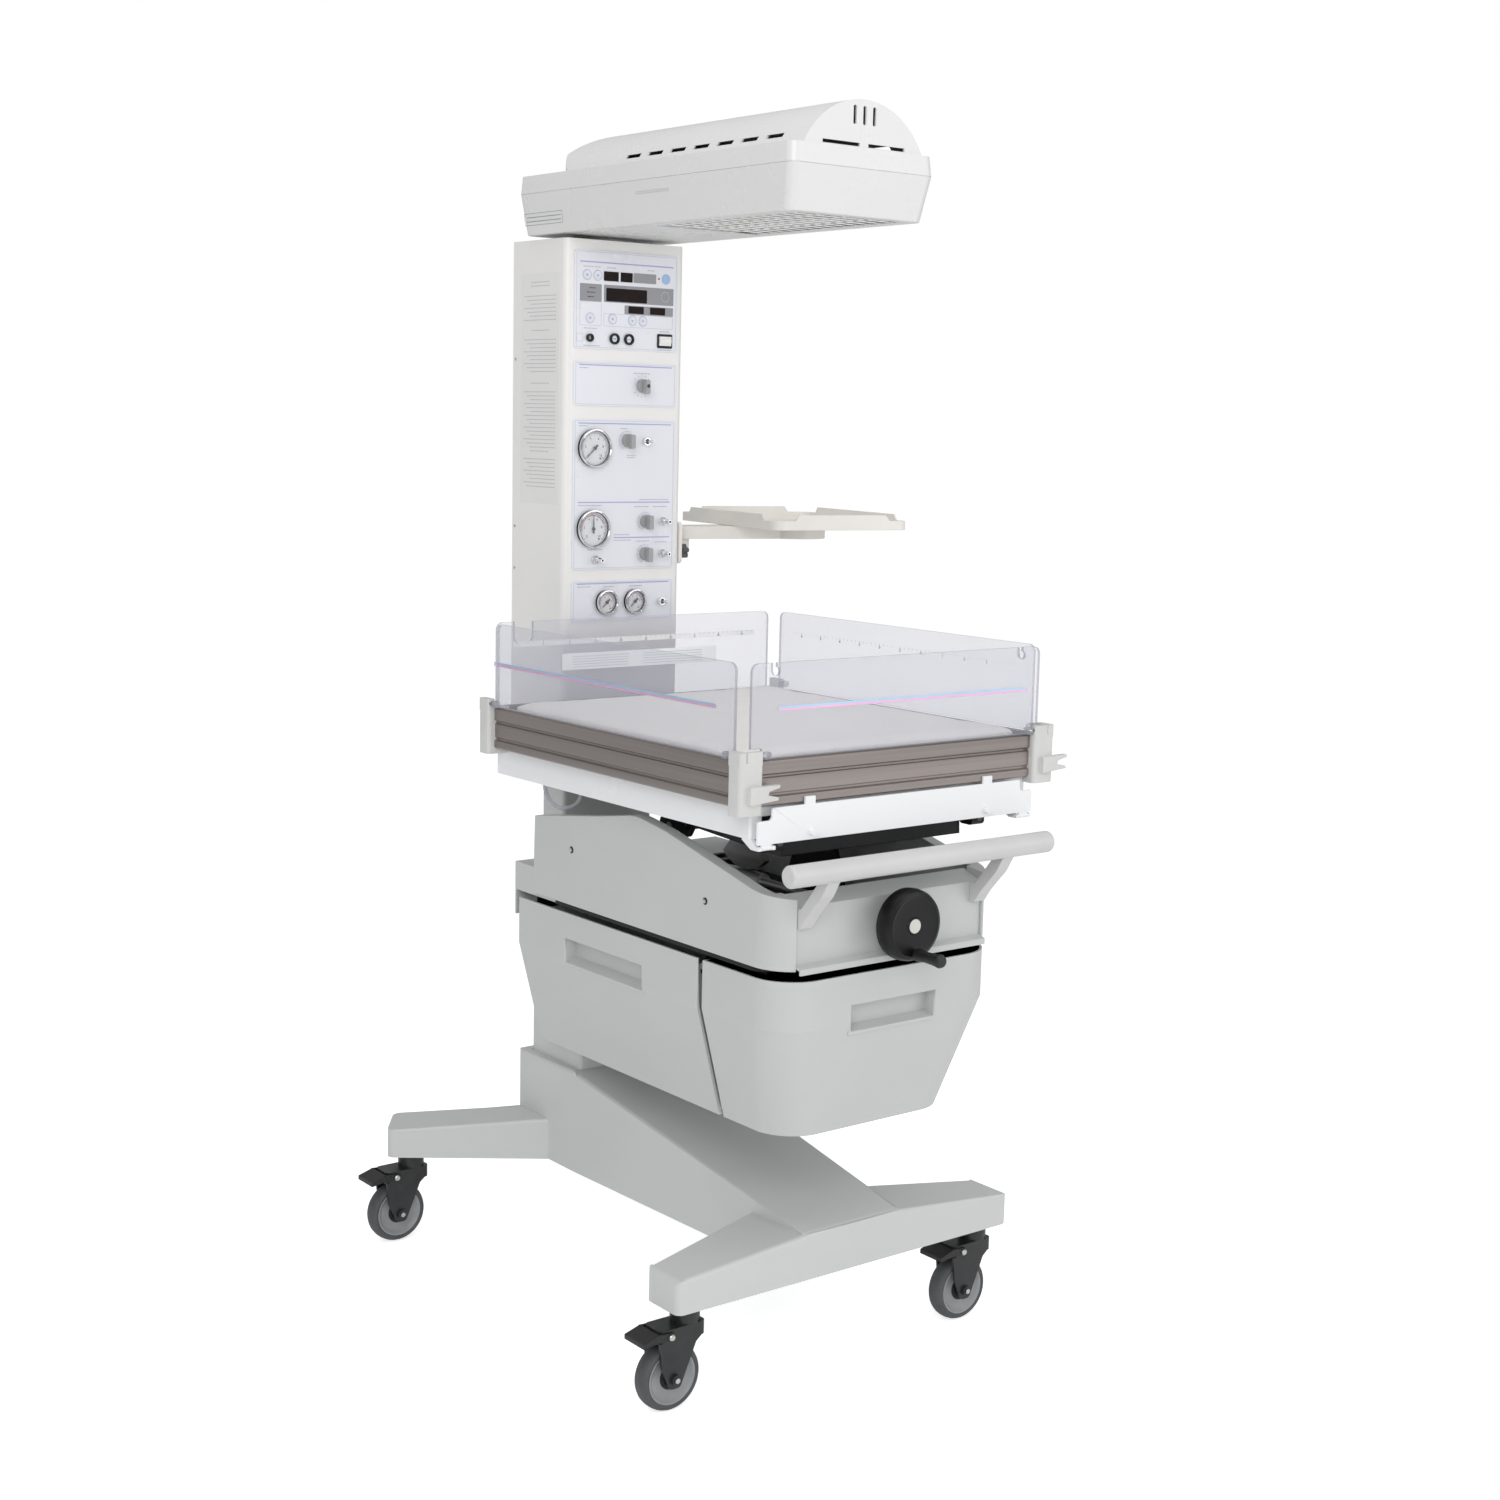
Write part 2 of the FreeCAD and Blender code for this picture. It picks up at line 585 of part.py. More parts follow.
def rearCovers():
    """Two louvred covers that close the column's back, and the fairing behind the shrouds."""
    half = columnHalf - sheet - seatGap
    covers = []
    for low, high, first in ((columnBottom + skin + seatGap, 1250, 900), (1252, columnTop - skin - seatGap, 1560)):
        cover = box(-half, half, columnDepth - skin - 1, columnDepth - 0.5, low, high)
        slots = [box(-60, 60, 100, 170, first + i * 14, first + i * 14 + 5) for i in range(6)]
        covers.append(cover.cut(Part.makeCompound(slots)))
    outer = 205.0
    inner = 200.0 + seatGap
    fairing = [box(-outer, outer, -3.5, 0, 641, 688),
               box(-outer, outer, -122, 0, 685, 688)]
    for side in (-1, 1):
        low, high = sorted((side * inner, side * outer))
        fairing.append(box(low, high, -122, 0, 641, 688))
        low, high = sorted((side * 150, side * outer))
        fairing.append(box(low, high, -3.5, 0, 600, 642))
    return covers + [fused(fairing)]


def modulePlates():
    return [pierced(slab("Y", -plateThick, 0, rectangle(-moduleHalf, moduleHalf, low, high), 5))
            for low, high in moduleSpans]


def gauges():
    """(x, z, radius, body radius) of every pressure gauge."""
    return ([(x, z, largeGaugeRadius, 22.0) for x, z in largeGauges]
            + [(x, z, smallGaugeRadius, 14.0) for x, z in smallGauges])


def gaugeCases():
    cases = []
    for x, z, radius, body in gauges():
        case = rod("Y", -plateThick - 9, -plateThick, x, z, radius)
        case = case.fuse(rod("Y", -plateThick, 30, x, z, body))
        case = case.cut(rod("Y", -plateThick - 10, -plateThick - 3, x, z, radius - 2.5))
        cases.append(case.cut(rod("Y", -plateThick - 4, -plateThick + 1, x, z, 1 + runGap)))
    return cases


def gaugeNeedle(x, z, radius, rest):
    """Pointer on its spindle, turned to its rest reading."""
    reach = radius - 8
    front = -plateThick - 6
    blade = slab("Y", front, front + 0.8, [(0, -1.2), (reach, -0.3), (reach, 0.3), (0, 1.2), (-7, 1.6), (-7, -1.6)])
    hub = rod("Y", front - 0.4, front + 1.5, 0, 0, 2.8)
    needle = fused([blade, hub, rod("Y", front, -plateThick + 0.5, 0, 0, 1)])
    needle.rotate(Vector(0, 0, 0), Vector(0, -1, 0), rest)
    needle.translate(Vector(x, 0, z))
    return needle


def clearWindows():
    panes = [slab("Y", -plateThick - 1, -plateThick, rectangle(*window), 1) for window in windows]
    for x, z, radius, body in gauges():
        panes.append(rod("Y", -plateThick - 8.8, -plateThick - 7.8, x, z, radius - 2.5 - seatGap))
    return panes


def controlKnob(x, z):
    """Round skirt with a raised grip bar and a spindle through the plate."""
    front = -plateThick - seatGap
    skirt = rod("Y", front - 9, front, x, z, 11)
    skirt = skirt.makeFillet(2, [skirt.Edges[0]])
    grip = slab("Y", front - 20, front - 8, rectangle(x - 4, x + 4, z - 13, z + 10), 3)
    return fused([skirt, grip, rod("Y", front - 5, 8, x, z, pedalPinRadius)])


def toggleLever(x, z):
    lever = Part.makeCone(1.6, 2.6, 17, Vector(x, -plateThick - 3, z), Vector(0, -1, 0))
    tip = Part.makeSphere(2.7, Vector(x, -plateThick - 20, z))
    trunnion = rod("X", x - 4.2, x + 4.2, -plateThick - 4, z, 1.2)
    return fused([lever, tip, trunnion])


def rockerSwitch():
    x, z = powerSwitch
    body = rod("X", x - 12 + seatGap, x + 12 - seatGap, 1, z, 8)
    face = slab("X", x - 12 + seatGap, x + 12 - seatGap,
                [(0, z - 7.5), (-6, z - 7.5), (-4.4, z), (-7.2, z + 7.5), (0, z + 7.5)])
    return fused([body, face])


def panelFittings():
    """Knob and toggle collars, gas nozzles, sockets and the switch bezel on the instrument plates."""
    face = -plateThick
    parts = []
    for x, z in toggles:
        parts.append(tube("Y", face - 8, face, x, z, 6.5, 4.5))
    for x, z in nozzles:
        stem = turned("Y", x, z, [(0, face), (7, face), (7, face - 5), (4.5, face - 6), (4.5, face - 13),
                                  (3.6, face - 14), (3.6, face - 16), (4.4, face - 17), (3.2, face - 24),
                                  (2, face - 24), (2, face - 10), (0, face - 10)])
        parts.append(stem)
    for x, z, radius in sockets:
        parts.append(tube("Y", face - 5, face, x, z, radius, radius - 3))
    x, z = powerSwitch
    bezel = slab("Y", face - 2, face, rectangle(x - 15, x + 15, z - 11.5, z + 11.5), 2)
    parts.append(bezel.cut(switchHole()))
    return parts


# --- hood ---------------------------------------------------------------------------------------
def hoodPlan(grow, inset):
    """Plan of the hood; it widens by grow and moves in by inset."""
    half = 124.5 + grow - inset
    return rectangle(-half, half, -575.5 - grow * 1.6 + inset, 114 + grow - inset), 16 - inset


def hoodTray():
    outer = loft("Z", [(hoodBottom, *hoodPlan(0, 0)), (hoodSeam, *hoodPlan(8.5, 0))])
    inner = loft("Z", [(hoodBottom + skin, *hoodPlan(0.4, skin)), (hoodSeam + 1, *hoodPlan(8.5, skin))])
    tray = outer.cut(inner)
    tray = tray.cut(box(-openingHalf, openingHalf, openingFront, openingRear, hoodBottom - 1, hoodBottom + 5))
    return tray.cut(rod("Z", hoodBottom - 1, hoodBottom + 5, 0, hoodPivotY, spigotRadius + runGap))


def domeBody(inset, bottom):
    """Long arched dome with a rounded rear end."""
    half, peak = domeHalf - inset, domePeak - inset
    left, right = Vector(-half, -583 + inset, hoodDeck), Vector(half, -583 + inset, hoodDeck)
    arch = Part.Arc(left, Vector(0, -583 + inset, peak), right).toShape()
    low = [Vector(half, -583 + inset, bottom), Vector(-half, -583 + inset, bottom)]
    edges = [arch, Part.makeLine(right, low[0]), Part.makeLine(low[0], low[1]), Part.makeLine(low[1], left)]
    dome = Part.Face(Part.Wire(edges)).extrude(Vector(0, 653 - 2 * inset, 0))
    side = [(-600, bottom), (-600, peak + 1), (38 - inset, peak + 1), (72 - inset, hoodDeck), (72 - inset, bottom)]
    dome = dome.common(slab("X", -150, 150, side, [0, 0, 92, 0, 0]))
    plan = rectangle(-half - 1, half + 1, -600, 70.5 - inset)
    return dome.common(slab("Z", bottom - 3, peak + 5, plan, [0, 0, 80, 80]))


def hoodCover():
    lid = loft("Z", [(hoodSeam, *hoodPlan(8.5, 0)), (hoodDeck, *hoodPlan(6.5, 0))])
    room = loft("Z", [(hoodSeam - 1, *hoodPlan(8.5, skin)), (hoodDeck - skin, *hoodPlan(6.5, skin))])
    cover = lid.fuse(domeBody(0, hoodDeck - 1)).cut(room).cut(domeBody(skin, hoodDeck - 5))
    slots = []
    for i in range(7):
        start = -141 - i * 58
        slots.append(box(-130, 130, start - 38, start, 1801, 1807))
        slots.append(box(-130, 130, start - 34, start - 6, hoodDeck + 1.5, hoodDeck + 4.5))
    for x in (-18, 0, 18):
        slots.append(slab("Y", -600, -570, rectangle(x - 3, x + 3, 1822, 1848), 2.5))
    for low, high in ((-76, -8), (8, 76)):
        slots.append(box(low, high, -600, -575, hoodDeck + 2, hoodDeck + 7))
    return cover.cut(Part.makeCompound(slots))


def heaterGuard():
    """Wire guard in the opening, and the bright trough that reflects the heat downwards."""
    low, high = hoodBottom, hoodBottom + skin
    x, f, r = openingHalf - seatGap, openingFront + seatGap, openingRear - seatGap
    frame = box(-x, x, f, r, low, high).cut(box(-x + 5, x - 5, f + 5, r - 5, low - 1, high + 1))
    pieces = [frame]
    for i in range(1, 14):
        pieces.append(rod("X", -x + 3, x - 3, f + i * (r - f) / 14, low + 1.5, 1.1))
    for across in (-48, 0, 48):
        pieces.append(rod("Y", f + 3, r - 3, across, low + 1.5, 1.1))
    guard = fused(pieces)
    t = 1.2
    trough = [(-104, high), (-97, high), (-46, 1742), (46, 1742), (97, high), (104, high), (104, high + t),
              (98, high + t), (47, 1742 + t), (-47, 1742 + t), (-98, high + t), (-104, high + t)]
    inside = [(-97, high), (-46, 1742), (46, 1742), (97, high)]
    reflector = slab("Y", -555, -220, trough)
    for start in (-555, -221.2):
        end = slab("Y", start, start + t, inside).cut(rod("Y", start - 1, start + 3, 0, 1722, 8))
        reflector = reflector.fuse(end)
    return [guard, reflector.removeSplitter()]


def heaterElement():
    return fused([rod("Y", -550, -225, 0, 1722, 5), rod("Y", -562, -545, 0, 1722, 8),
                  rod("Y", -230, -213, 0, 1722, 8)])


# --- shelf --------------------------------------------------------------------------------------
def shelfClamp():
    x, y = armPivot
    side = columnHalf
    pieces = [slab("X", side, side + 6, rectangle(2, 104, 1166, 1236), 8),
              box(side + 5, x, y - 16, y + 16, 1190, armBottom - seatGap),
              rod("Z", 1190, armBottom - seatGap, x, y, 16),
              rod("Z", 1190, shelfBottom - 2, x, y, shelfPin)]
    return fused(pieces).cut(rod("X", side - 1, side + 7, 16, 1186, 4 + runGap))


def shelfArm():
    """Flat arm from the clamp's pin to the disc under the shelf."""
    top = shelfBottom - seatGap
    (x0, y0), (x1, y1) = armPivot, shelfCentre
    ahead = Vector(x1 - x0, y1 - y0, 0)
    ahead.normalize()
    across = Vector(-ahead.y, ahead.x, 0)
    corners = [Vector(x0, y0, 0) + across * 26, Vector(x1, y1, 0) + across * 44,
               Vector(x1, y1, 0) - across * 44, Vector(x0, y0, 0) - across * 26]
    web = slab("Z", armBottom, top, [(p.x, p.y) for p in corners])
    disc = rod("Z", armBottom, top, x1, y1, 60)
    arm = fused([rod("Z", armBottom, top, x0, y0, 26), web, disc,
                 rod("Z", armBottom, shelfBottom + skin, x1, y1, shelfPin)])
    return arm.cut(rod("Z", armBottom - 1, top - 1, x0, y0, shelfPin + runGap))


def shelfTray():
    w, d = shelfWidth / 2, shelfDepth / 2
    tray = slab("Z", shelfBottom, shelfRim, rectangle(-w, w, -d, d), 20)
    tray = tray.cut(slab("Z", shelfBottom + skin, shelfRim + 1, rectangle(-w + skin, w - skin, -d + skin, d - skin), 17))
    for x in (-w, w):
        for y in (-d, d):
            notch = loft("Z", [(shelfNotch, rectangle(x - 40, x + 40, y - 40, y + 40), 5),
                               (shelfRim + 1, rectangle(x - 48, x + 48, y - 48, y + 48), 5)])
            tray = tray.cut(notch)
    tray = tray.cut(rod("Z", shelfBottom - 1, shelfRim, 0, 0, shelfPin + runGap))
    tray.rotate(Vector(0, 0, 0), Vector(0, 0, 1), shelfTurn)
    tray.translate(Vector(shelfCentre[0], shelfCentre[1], 0))
    return tray


def clampKnob():
    start = columnHalf + 6 + seatGap
    y, z = 16, 1186
    pieces = [rod("X", start, start + 10, y, z, 9), rod("X", columnHalf + 1, start + 5, y, z, 4)]
    for i in range(5):
        angle = math.radians(72 * i + 90)
        pieces.append(rod("X", start + 4, start + 16, y + 8 * math.cos(angle), z + 8 * math.sin(angle), 4.5))
    return fused(pieces)


# --- bassinet -----------------------------------------------------------------------------------
def bassinetTray():
    """Cassette tray with an open front, its door ears and hose fittings, and the mattress board."""
    outer = slab("Z", trayBottom, trayTop, rectangle(-trayHalf, trayHalf, trayFront, trayRear), 4)
    room = box(-trayHalf + skin, trayHalf - skin, trayFront + skin, trayRear - skin, trayBottom + skin, trayTop + 1)
    mouth = box(-trayHalf + 20, trayHalf - 20, trayFront - 1, trayFront + skin + 1, trayBottom + skin, mouthTop)
    pieces = [outer.cut(room).cut(mouth)]
    for side in (-1, 1):
        for start in (230, 254.3):
            low, high = sorted((side * start, side * (start + 5.7)))
            ear = [(doorHingeY - 3, doorHingeZ - 3), (doorHingeY - 3, doorHingeZ + 2), (doorHingeY + 3, doorHingeZ + 3),
                   (trayFront + 2, trayBottom + 3),
                   (trayFront + 20, trayBottom + 1), (trayFront + 20, trayBottom - 3), (trayFront, doorHingeZ - 3)]
            pieces.append(slab("X", low, high, ear))
        low, high = sorted((side * 232, side * 258))
        pieces.append(rod("X", low, high, doorHingeY, doorHingeZ, 1.5))
    for point in (hoseRoute[0], hoseRoute[-1]):
        pieces.append(rod("Z", point[2], trayBottom + 1, point[0], point[1], 6))
    board = box(-postInner + 2, postInner - 2, trayFront + 5, cornerRear - cornerDepth, trayTop + 4, trayTop + 4 + boardThick)
    return [fused(pieces), board]


def sideRail(axis, start, end, outer, sign):
    """One rail of the bassinet: two long grooves outside and a ledge inside."""
    z0, z1, t = trayTop, railTopZ, railThick
    profile = [(-2, z0), (0, z0 + 2), (0, z0 + 12), (-4, z0 + 14), (-4, z0 + 17), (-1.5, z0 + 18),
               (-1.5, z0 + 39), (-4, z0 + 40), (-4, z0 + 43), (0, z0 + 45), (0, z1 - 2), (-2, z1), (-t, z1),
               (-t, z0 + 4 - seatGap), (-t - 17, z0 + 4 - seatGap), (-t - 17, z0)]
    return slab(axis, start, end, [(sign * (outer + u), v) for u, v in profile])


def bassinetRails():
    side0, side1 = cornerFront + cornerDepth, cornerRear - cornerDepth
    rails = [sideRail("Y", side0, side1, railOuter, sign) for sign in (-1, 1)]
    rails.append(sideRail("X", -postInner, postInner, -railFront, -1))
    rear = sideRail("X", -postInner, postInner, railRear, 1)
    slot = box(-200, 200, railRear - 11 - seatGap, railRear - 6 + seatGap, railTopZ - 8, railTopZ + 1)
    rails.append(rear.cut(slot))
    inner = railOuter - railThick
    trimmed = []
    for rail in rails[2:]:
        trimmed.append(rail.cut(box(inner - 17, inner + 60, -800, 0, trayTop - 1, trayTop + 5))
                       .cut(box(-inner - 60, -inner + 17, -800, 0, trayTop - 1, trayTop + 5)))
    return rails[:2] + trimmed


def cornerPosts():
    """Moulded corner posts with the caps that hold the fold-down pins; hose hooks on the front pair."""
    posts = []
    for side in (-1, 1):
        low, high = sorted((side * postInner, side * postOuter))
        for y0, front in ((cornerFront, True), (cornerRear - cornerDepth, False)):
            y1 = y0 + cornerDepth
            post = slab("Z", 880, railTopZ, rectangle(low, high, y0, y1), 6)
            a, b = sorted((side * (foldX - 8), side * postOuter))
            post = post.fuse(slab("Z", railTopZ - 5, capTop, rectangle(a, b, y0, y1), 4))
            if front:
                a, b = sorted((side * (postInner + 1), side * (foldX - 8)))
                post = post.fuse(slab("Z", railTopZ - 5, capTop, rectangle(a, b, y0, y0 + 9), 3))
                x = side * foldX if side > 0 else -postInner - 4
                hook = [(x - 24, 896), (x - 24, 920), (x + 26, 921), (x + 26, 917), (x + 8, 913), (x + 6, 908),
                        (x + 24, 904), (x + 24, 900)]
                post = post.fuse(slab("Y", cornerFront - 8, cornerFront + 1, hook))
            pin = rod("Y", y1 - 11, y1 + 1, side * foldX, foldZ, foldPin + runGap) if front else \
                rod("Y", y0 - 1, y0 + 11, side * foldX, foldZ, foldPin + runGap)
            post = post.cut(pin)
            if front:
                a, b = sorted((side * (postInner - 1), side * (postInner + 11)))
                post = post.cut(rod("X", a, b, foldY, foldZ, foldPin + runGap))
            tray = box(-trayHalf, trayHalf, trayFront, trayRear, 840, trayTop)
            posts.append(post.cut(tray).removeSplitter())
    return posts


def sidePanel():
    """Left clear side with its two hinge lugs and pins."""
    y0, y1 = cornerFront + cornerDepth + 4, cornerRear - cornerDepth - 4
    x0 = -foldX + 8
    pane = slab("X", x0, x0 + clearThick, rectangle(y0, y1, clearBottom, clearTop), [2, 2, 12, 12])
    pieces = [pane]
    for a, b, c, d in ((y0, y0 + 9, y0 - 12, y0 + 1), (y1 - 9, y1, y1 - 1, y1 + 12)):
        pieces.append(slab("Y", a, b, rectangle(-foldX - 4, x0 + clearThick, clearBottom, foldZ + 5), 3))
        pieces.append(rod("Y", c, d, -foldX, foldZ, foldPin))
    return fused(pieces)


def endPanel():
    """Front clear panel: narrow at the foot, where it clears the post caps, and notched for hoses."""
    y0 = foldY + 6
    foot, half = postInner - 4, 272.0
    points = [(-foot, clearBottom), (foot, clearBottom), (foot, capTop + 2), (half, capTop + 2), (half, clearTop),
              (-half, clearTop), (-half, capTop + 2), (-foot, capTop + 2)]
    pane = slab("Y", y0, y0 + clearThick, points, [2, 2, 0, 0, 12, 12, 0, 0])
    pieces = [pane]
    for side in (-1, 1):
        low, high = sorted((side * (foot - 9), side * foot))
        pieces.append(slab("X", low, high, rectangle(foldY - 4, y0 + clearThick, clearBottom, foldZ + 5), 3))
        low, high = sorted((side * (foot - 1), side * (foot + 12)))
        pieces.append(rod("X", low, high, foldY, foldZ, foldPin))
    pane = fused(pieces)
    for x in (-233, 233):
        pane = pane.cut(slab("Y", y0 - 1, y0 + clearThick + 1, rectangle(x - 4, x + 4, clearTop - 13, clearTop + 1)))
        pane = pane.cut(rod("Y", y0 - 1, y0 + clearThick + 1, x + 3, clearTop - 12, 6))
    return pane


def rearPanel():
    y0 = railRear - 11
    points = [(-198, railTopZ - 8), (198, railTopZ - 8), (198, clearBottom), (272, clearBottom), (272, clearTop),
              (-272, clearTop), (-272, clearBottom), (-198, clearBottom)]
    pane = slab("Y", y0, y0 + clearThick, points, [0, 0, 0, 2, 12, 12, 2, 0])
    return pane.cut(slab("Y", y0 - 1, y0 + 6, [(-240, clearTop + 1), (-240, 1050), (-205, 1050), (-205, clearTop + 1)],
                         [0, 12, 12, 0]))


def cassetteDoor():
    """Drop-down door across the cassette slot, with two catch tabs, two knobs and hinge knuckles."""
    y0, y1 = doorHingeY - 2, doorHingeY + 1.7
    step = doorHalf - 25
    face = [(-doorHalf, doorHingeZ + 5), (doorHalf, doorHingeZ + 5), (doorHalf, doorShoulder),
            (step, doorShoulder), (step, doorTop), (-step, doorTop), (-step, doorShoulder),
            (-doorHalf, doorShoulder)]
    pieces = [slab("Y", y0, y1, face, [2, 2, 3, 6, 3, 3, 6, 3])]
    for side in (-1, 1):
        low, high = sorted((side * 160, side * 178))
        pieces.append(slab("Y", y0, y1, rectangle(low, high, doorTop - 2, 898), 2))
        low, high = sorted((side * 236, side * 254))
        pieces.append(rod("X", low, high, doorHingeY, doorHingeZ, 3.4))
        pieces.append(box(low, high, y0, y1, doorHingeZ, doorHingeZ + 8))
        pieces.append(rod("Y", y0 - 8, y0 + 1, side * 166, 848, 5))
    door = fused(pieces)
    for side in (-1, 1):
        low, high = sorted((side * 230, side * 260))
        door = door.cut(rod("X", low, high, doorHingeY, doorHingeZ, 1.5 + runGap))
    return door


def mattress():
    inner = railOuter - railThick
    return slab("Z", trayTop + 4 + boardThick + seatGap, mattressTop,
                rectangle(-inner + 6, inner - 6, cornerFront + cornerDepth + 3, cornerRear - cornerDepth - 3), 18)


def hose():
    """Tube along the route: straight runs joined by tangent arcs, each as large as its runs allow."""
    points = [Vector(*p) for p in hoseRoute]
    edges = []
    start = points[0]
    for before, here, after in zip(points, points[1:], points[2:]):
        back, ahead = before - here, after - here
        shorter = min(back.Length, ahead.Length)
        back.normalize()
        ahead.normalize()
        half = back.getAngle(ahead) / 2
        reach = 0.45 * shorter
        radius = reach * math.tan(half)
        print("hose bend radius %.1f mm" % radius)
        bisector = back + ahead
        bisector.normalize()
        middle = here + bisector * (radius / math.sin(half) - radius)
        enter, leave = here + back * reach, here + ahead * reach
        edges += [Part.makeLine(start, enter), Part.Arc(enter, middle, leave).toShape()]
        start = leave
    edges.append(Part.makeLine(start, points[-1]))
    path = Part.Wire(edges)
    ring = Part.Wire(Part.makeCircle(hoseRadius, points[0], points[1] - points[0]))
    body = path.makePipeShell([ring], True, True)
    print("hose length %.1f mm, volume ratio %.4f"
          % (path.Length, body.Volume / (path.Length * math.pi * hoseRadius ** 2)))
    return body


# --- the whole assembly ---------------------------------------------------------------------------
def assemble():
    nodes = {"base_frame": [baseFrame()]}
    for corner, (x, y) in casterSpots().items():
        for name, solids in (("caster_fork_", [casterFork()]), ("caster_wheel_", casterWheel()),
                             ("brake_pedal_", [brakePedal()])):
            nodes[name + corner] = [solid.translated(Vector(x, y, 0)) for solid in solids]
    nodes["chassis"] = [chassis()]
    nodes["shrouds"] = [shroud(), mirrored(shroud()), frontPanel()]
    nodes["left_drawer"] = [sideDrawer()]
    nodes["right_drawer"] = [mirrored(sideDrawer())]
    nodes["front_drawer"] = [frontDrawer()]
    nodes["push_handle"] = [pushHandle()]
    nodes["handwheel"] = [handwheel()]
    nodes["crank_grip"] = [crankGrip()]
    nodes["drive_shaft"] = [driveShaft()]
    nodes["tilt_quadrant"] = [tiltQuadrant()]
    nodes["column_shell"] = columnShell()
    nodes["rear_covers"] = rearCovers()
    nodes["module_plates"] = modulePlates()
    nodes["gauge_cases"] = gaugeCases()
    for i, (x, z, radius, body) in enumerate(gauges()):
        nodes["gauge_needle_%d" % (i + 1)] = [gaugeNeedle(x, z, radius, needleRests[i])]
    nodes["clear_windows"] = clearWindows()
    for i, (x, z) in enumerate(knobs):
        nodes["control_knob_%d" % (i + 1)] = [controlKnob(x, z)]
    for i, (x, z) in enumerate(toggles):
        nodes["toggle_lever_%d" % (i + 1)] = [toggleLever(x, z)]
    nodes["power_rocker"] = [rockerSwitch()]
    nodes["panel_fittings"] = panelFittings()
    nodes["hood_tray"] = [hoodTray()]
    nodes["hood_cover"] = [hoodCover()]
    nodes["heater_guard"] = heaterGuard()
    nodes["heater_element"] = [heaterElement()]
    nodes["shelf_clamp"] = [shelfClamp()]
    nodes["shelf_arm"] = [shelfArm()]
    nodes["shelf_tray"] = [shelfTray()]
    nodes["clamp_knob"] = [clampKnob()]
    nodes["bassinet_tray"] = bassinetTray()
    nodes["bassinet_rails"] = bassinetRails()
    nodes["corner_posts"] = cornerPosts()
    nodes["left_side_panel"] = [sidePanel()]
    nodes["right_side_panel"] = [mirrored(sidePanel())]
    nodes["front_end_panel"] = [endPanel()]
    nodes["rear_end_panel"] = [rearPanel()]
    nodes["cassette_door"] = [cassetteDoor()]
    nodes["mattress"] = [mattress()]
    nodes["hose"] = [hose()]
    return nodes


def footprintShift(nodes):
    """How far the assembly moves so that its bounding box is centred over the origin."""
    total = FreeCAD.BoundBox()
    for solids in nodes.values():
        for solid in solids:
            total.add(solid.optimalBoundingBox(False, False))
    return Vector(-total.Center.x, -total.Center.y, -total.ZMin)


def main():
    os.makedirs("parts", exist_ok=True)
    nodes = assemble()
    shift = footprintShift(nodes)
    print("shift", shift)
    for name, solids in nodes.items():
        shape = Part.makeCompound([solid.translated(shift) for solid in solids])
        print(name, len(shape.Solids), shape.isValid(), round(shape.Volume / 1000, 1))
        shape.exportStep("parts/%s.step" % name)


if __name__ == "__main__":
    main()
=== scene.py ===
import json
import math

import bmesh
import bpy
import numpy as np
from mathutils import Matrix, Vector
from mathutils.bvhtree import BVHTree


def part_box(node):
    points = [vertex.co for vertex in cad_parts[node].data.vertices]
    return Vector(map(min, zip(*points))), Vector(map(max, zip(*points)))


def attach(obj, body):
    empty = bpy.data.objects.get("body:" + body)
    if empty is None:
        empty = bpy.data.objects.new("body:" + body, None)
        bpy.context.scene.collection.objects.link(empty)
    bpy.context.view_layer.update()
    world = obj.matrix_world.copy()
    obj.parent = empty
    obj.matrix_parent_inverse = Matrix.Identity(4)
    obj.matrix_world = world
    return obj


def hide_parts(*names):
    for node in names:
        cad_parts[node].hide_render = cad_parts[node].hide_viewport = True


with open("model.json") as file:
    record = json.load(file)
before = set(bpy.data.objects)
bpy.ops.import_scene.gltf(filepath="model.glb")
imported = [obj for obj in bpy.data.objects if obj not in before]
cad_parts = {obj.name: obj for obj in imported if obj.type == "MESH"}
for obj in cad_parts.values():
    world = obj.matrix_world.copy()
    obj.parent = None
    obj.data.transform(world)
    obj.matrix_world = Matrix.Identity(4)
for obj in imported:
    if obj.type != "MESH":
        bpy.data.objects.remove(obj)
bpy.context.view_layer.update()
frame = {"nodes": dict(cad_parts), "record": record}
nodes = frame["nodes"]
scene = bpy.context.scene

# Pieces are laid out in millimetres from the middle of the column's front face at floor level.
plateLow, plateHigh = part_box("module_plates")
midX = (plateLow.x + plateHigh.x) / 2
faceY = plateHigh.y
casters = ("fl", "fr", "rl", "rr")


# Millimetres from the column's front face, as metres in the shared frame.
def toFrame(points):
    return np.asarray(points, float) / 1000 + np.array([midX, faceY, 0.0])


def fromFrame(point):
    return (np.array(point, float) - np.array([midX, faceY, 0.0])) * 1000


# A node group that takes a vector and named numbers, and gives numbers back.
def newGroup(name, inputs, outputs):
    group = bpy.data.node_groups.new(name, "ShaderNodeTree")
    group.interface.new_socket(name="Vector", in_out="INPUT", socket_type="NodeSocketVector")
    for label, value in inputs.items():
        socket = group.interface.new_socket(name=label, in_out="INPUT", socket_type="NodeSocketFloat")
        socket.default_value = value
    for label in outputs:
        group.interface.new_socket(name=label, in_out="OUTPUT", socket_type="NodeSocketFloat")
    start = group.nodes.new("NodeGroupInput")
    end = group.nodes.new("NodeGroupOutput")
    return group, start, end


def setInputs(node, values):
    for label, value in values.items():
        node.inputs[label].default_value = value


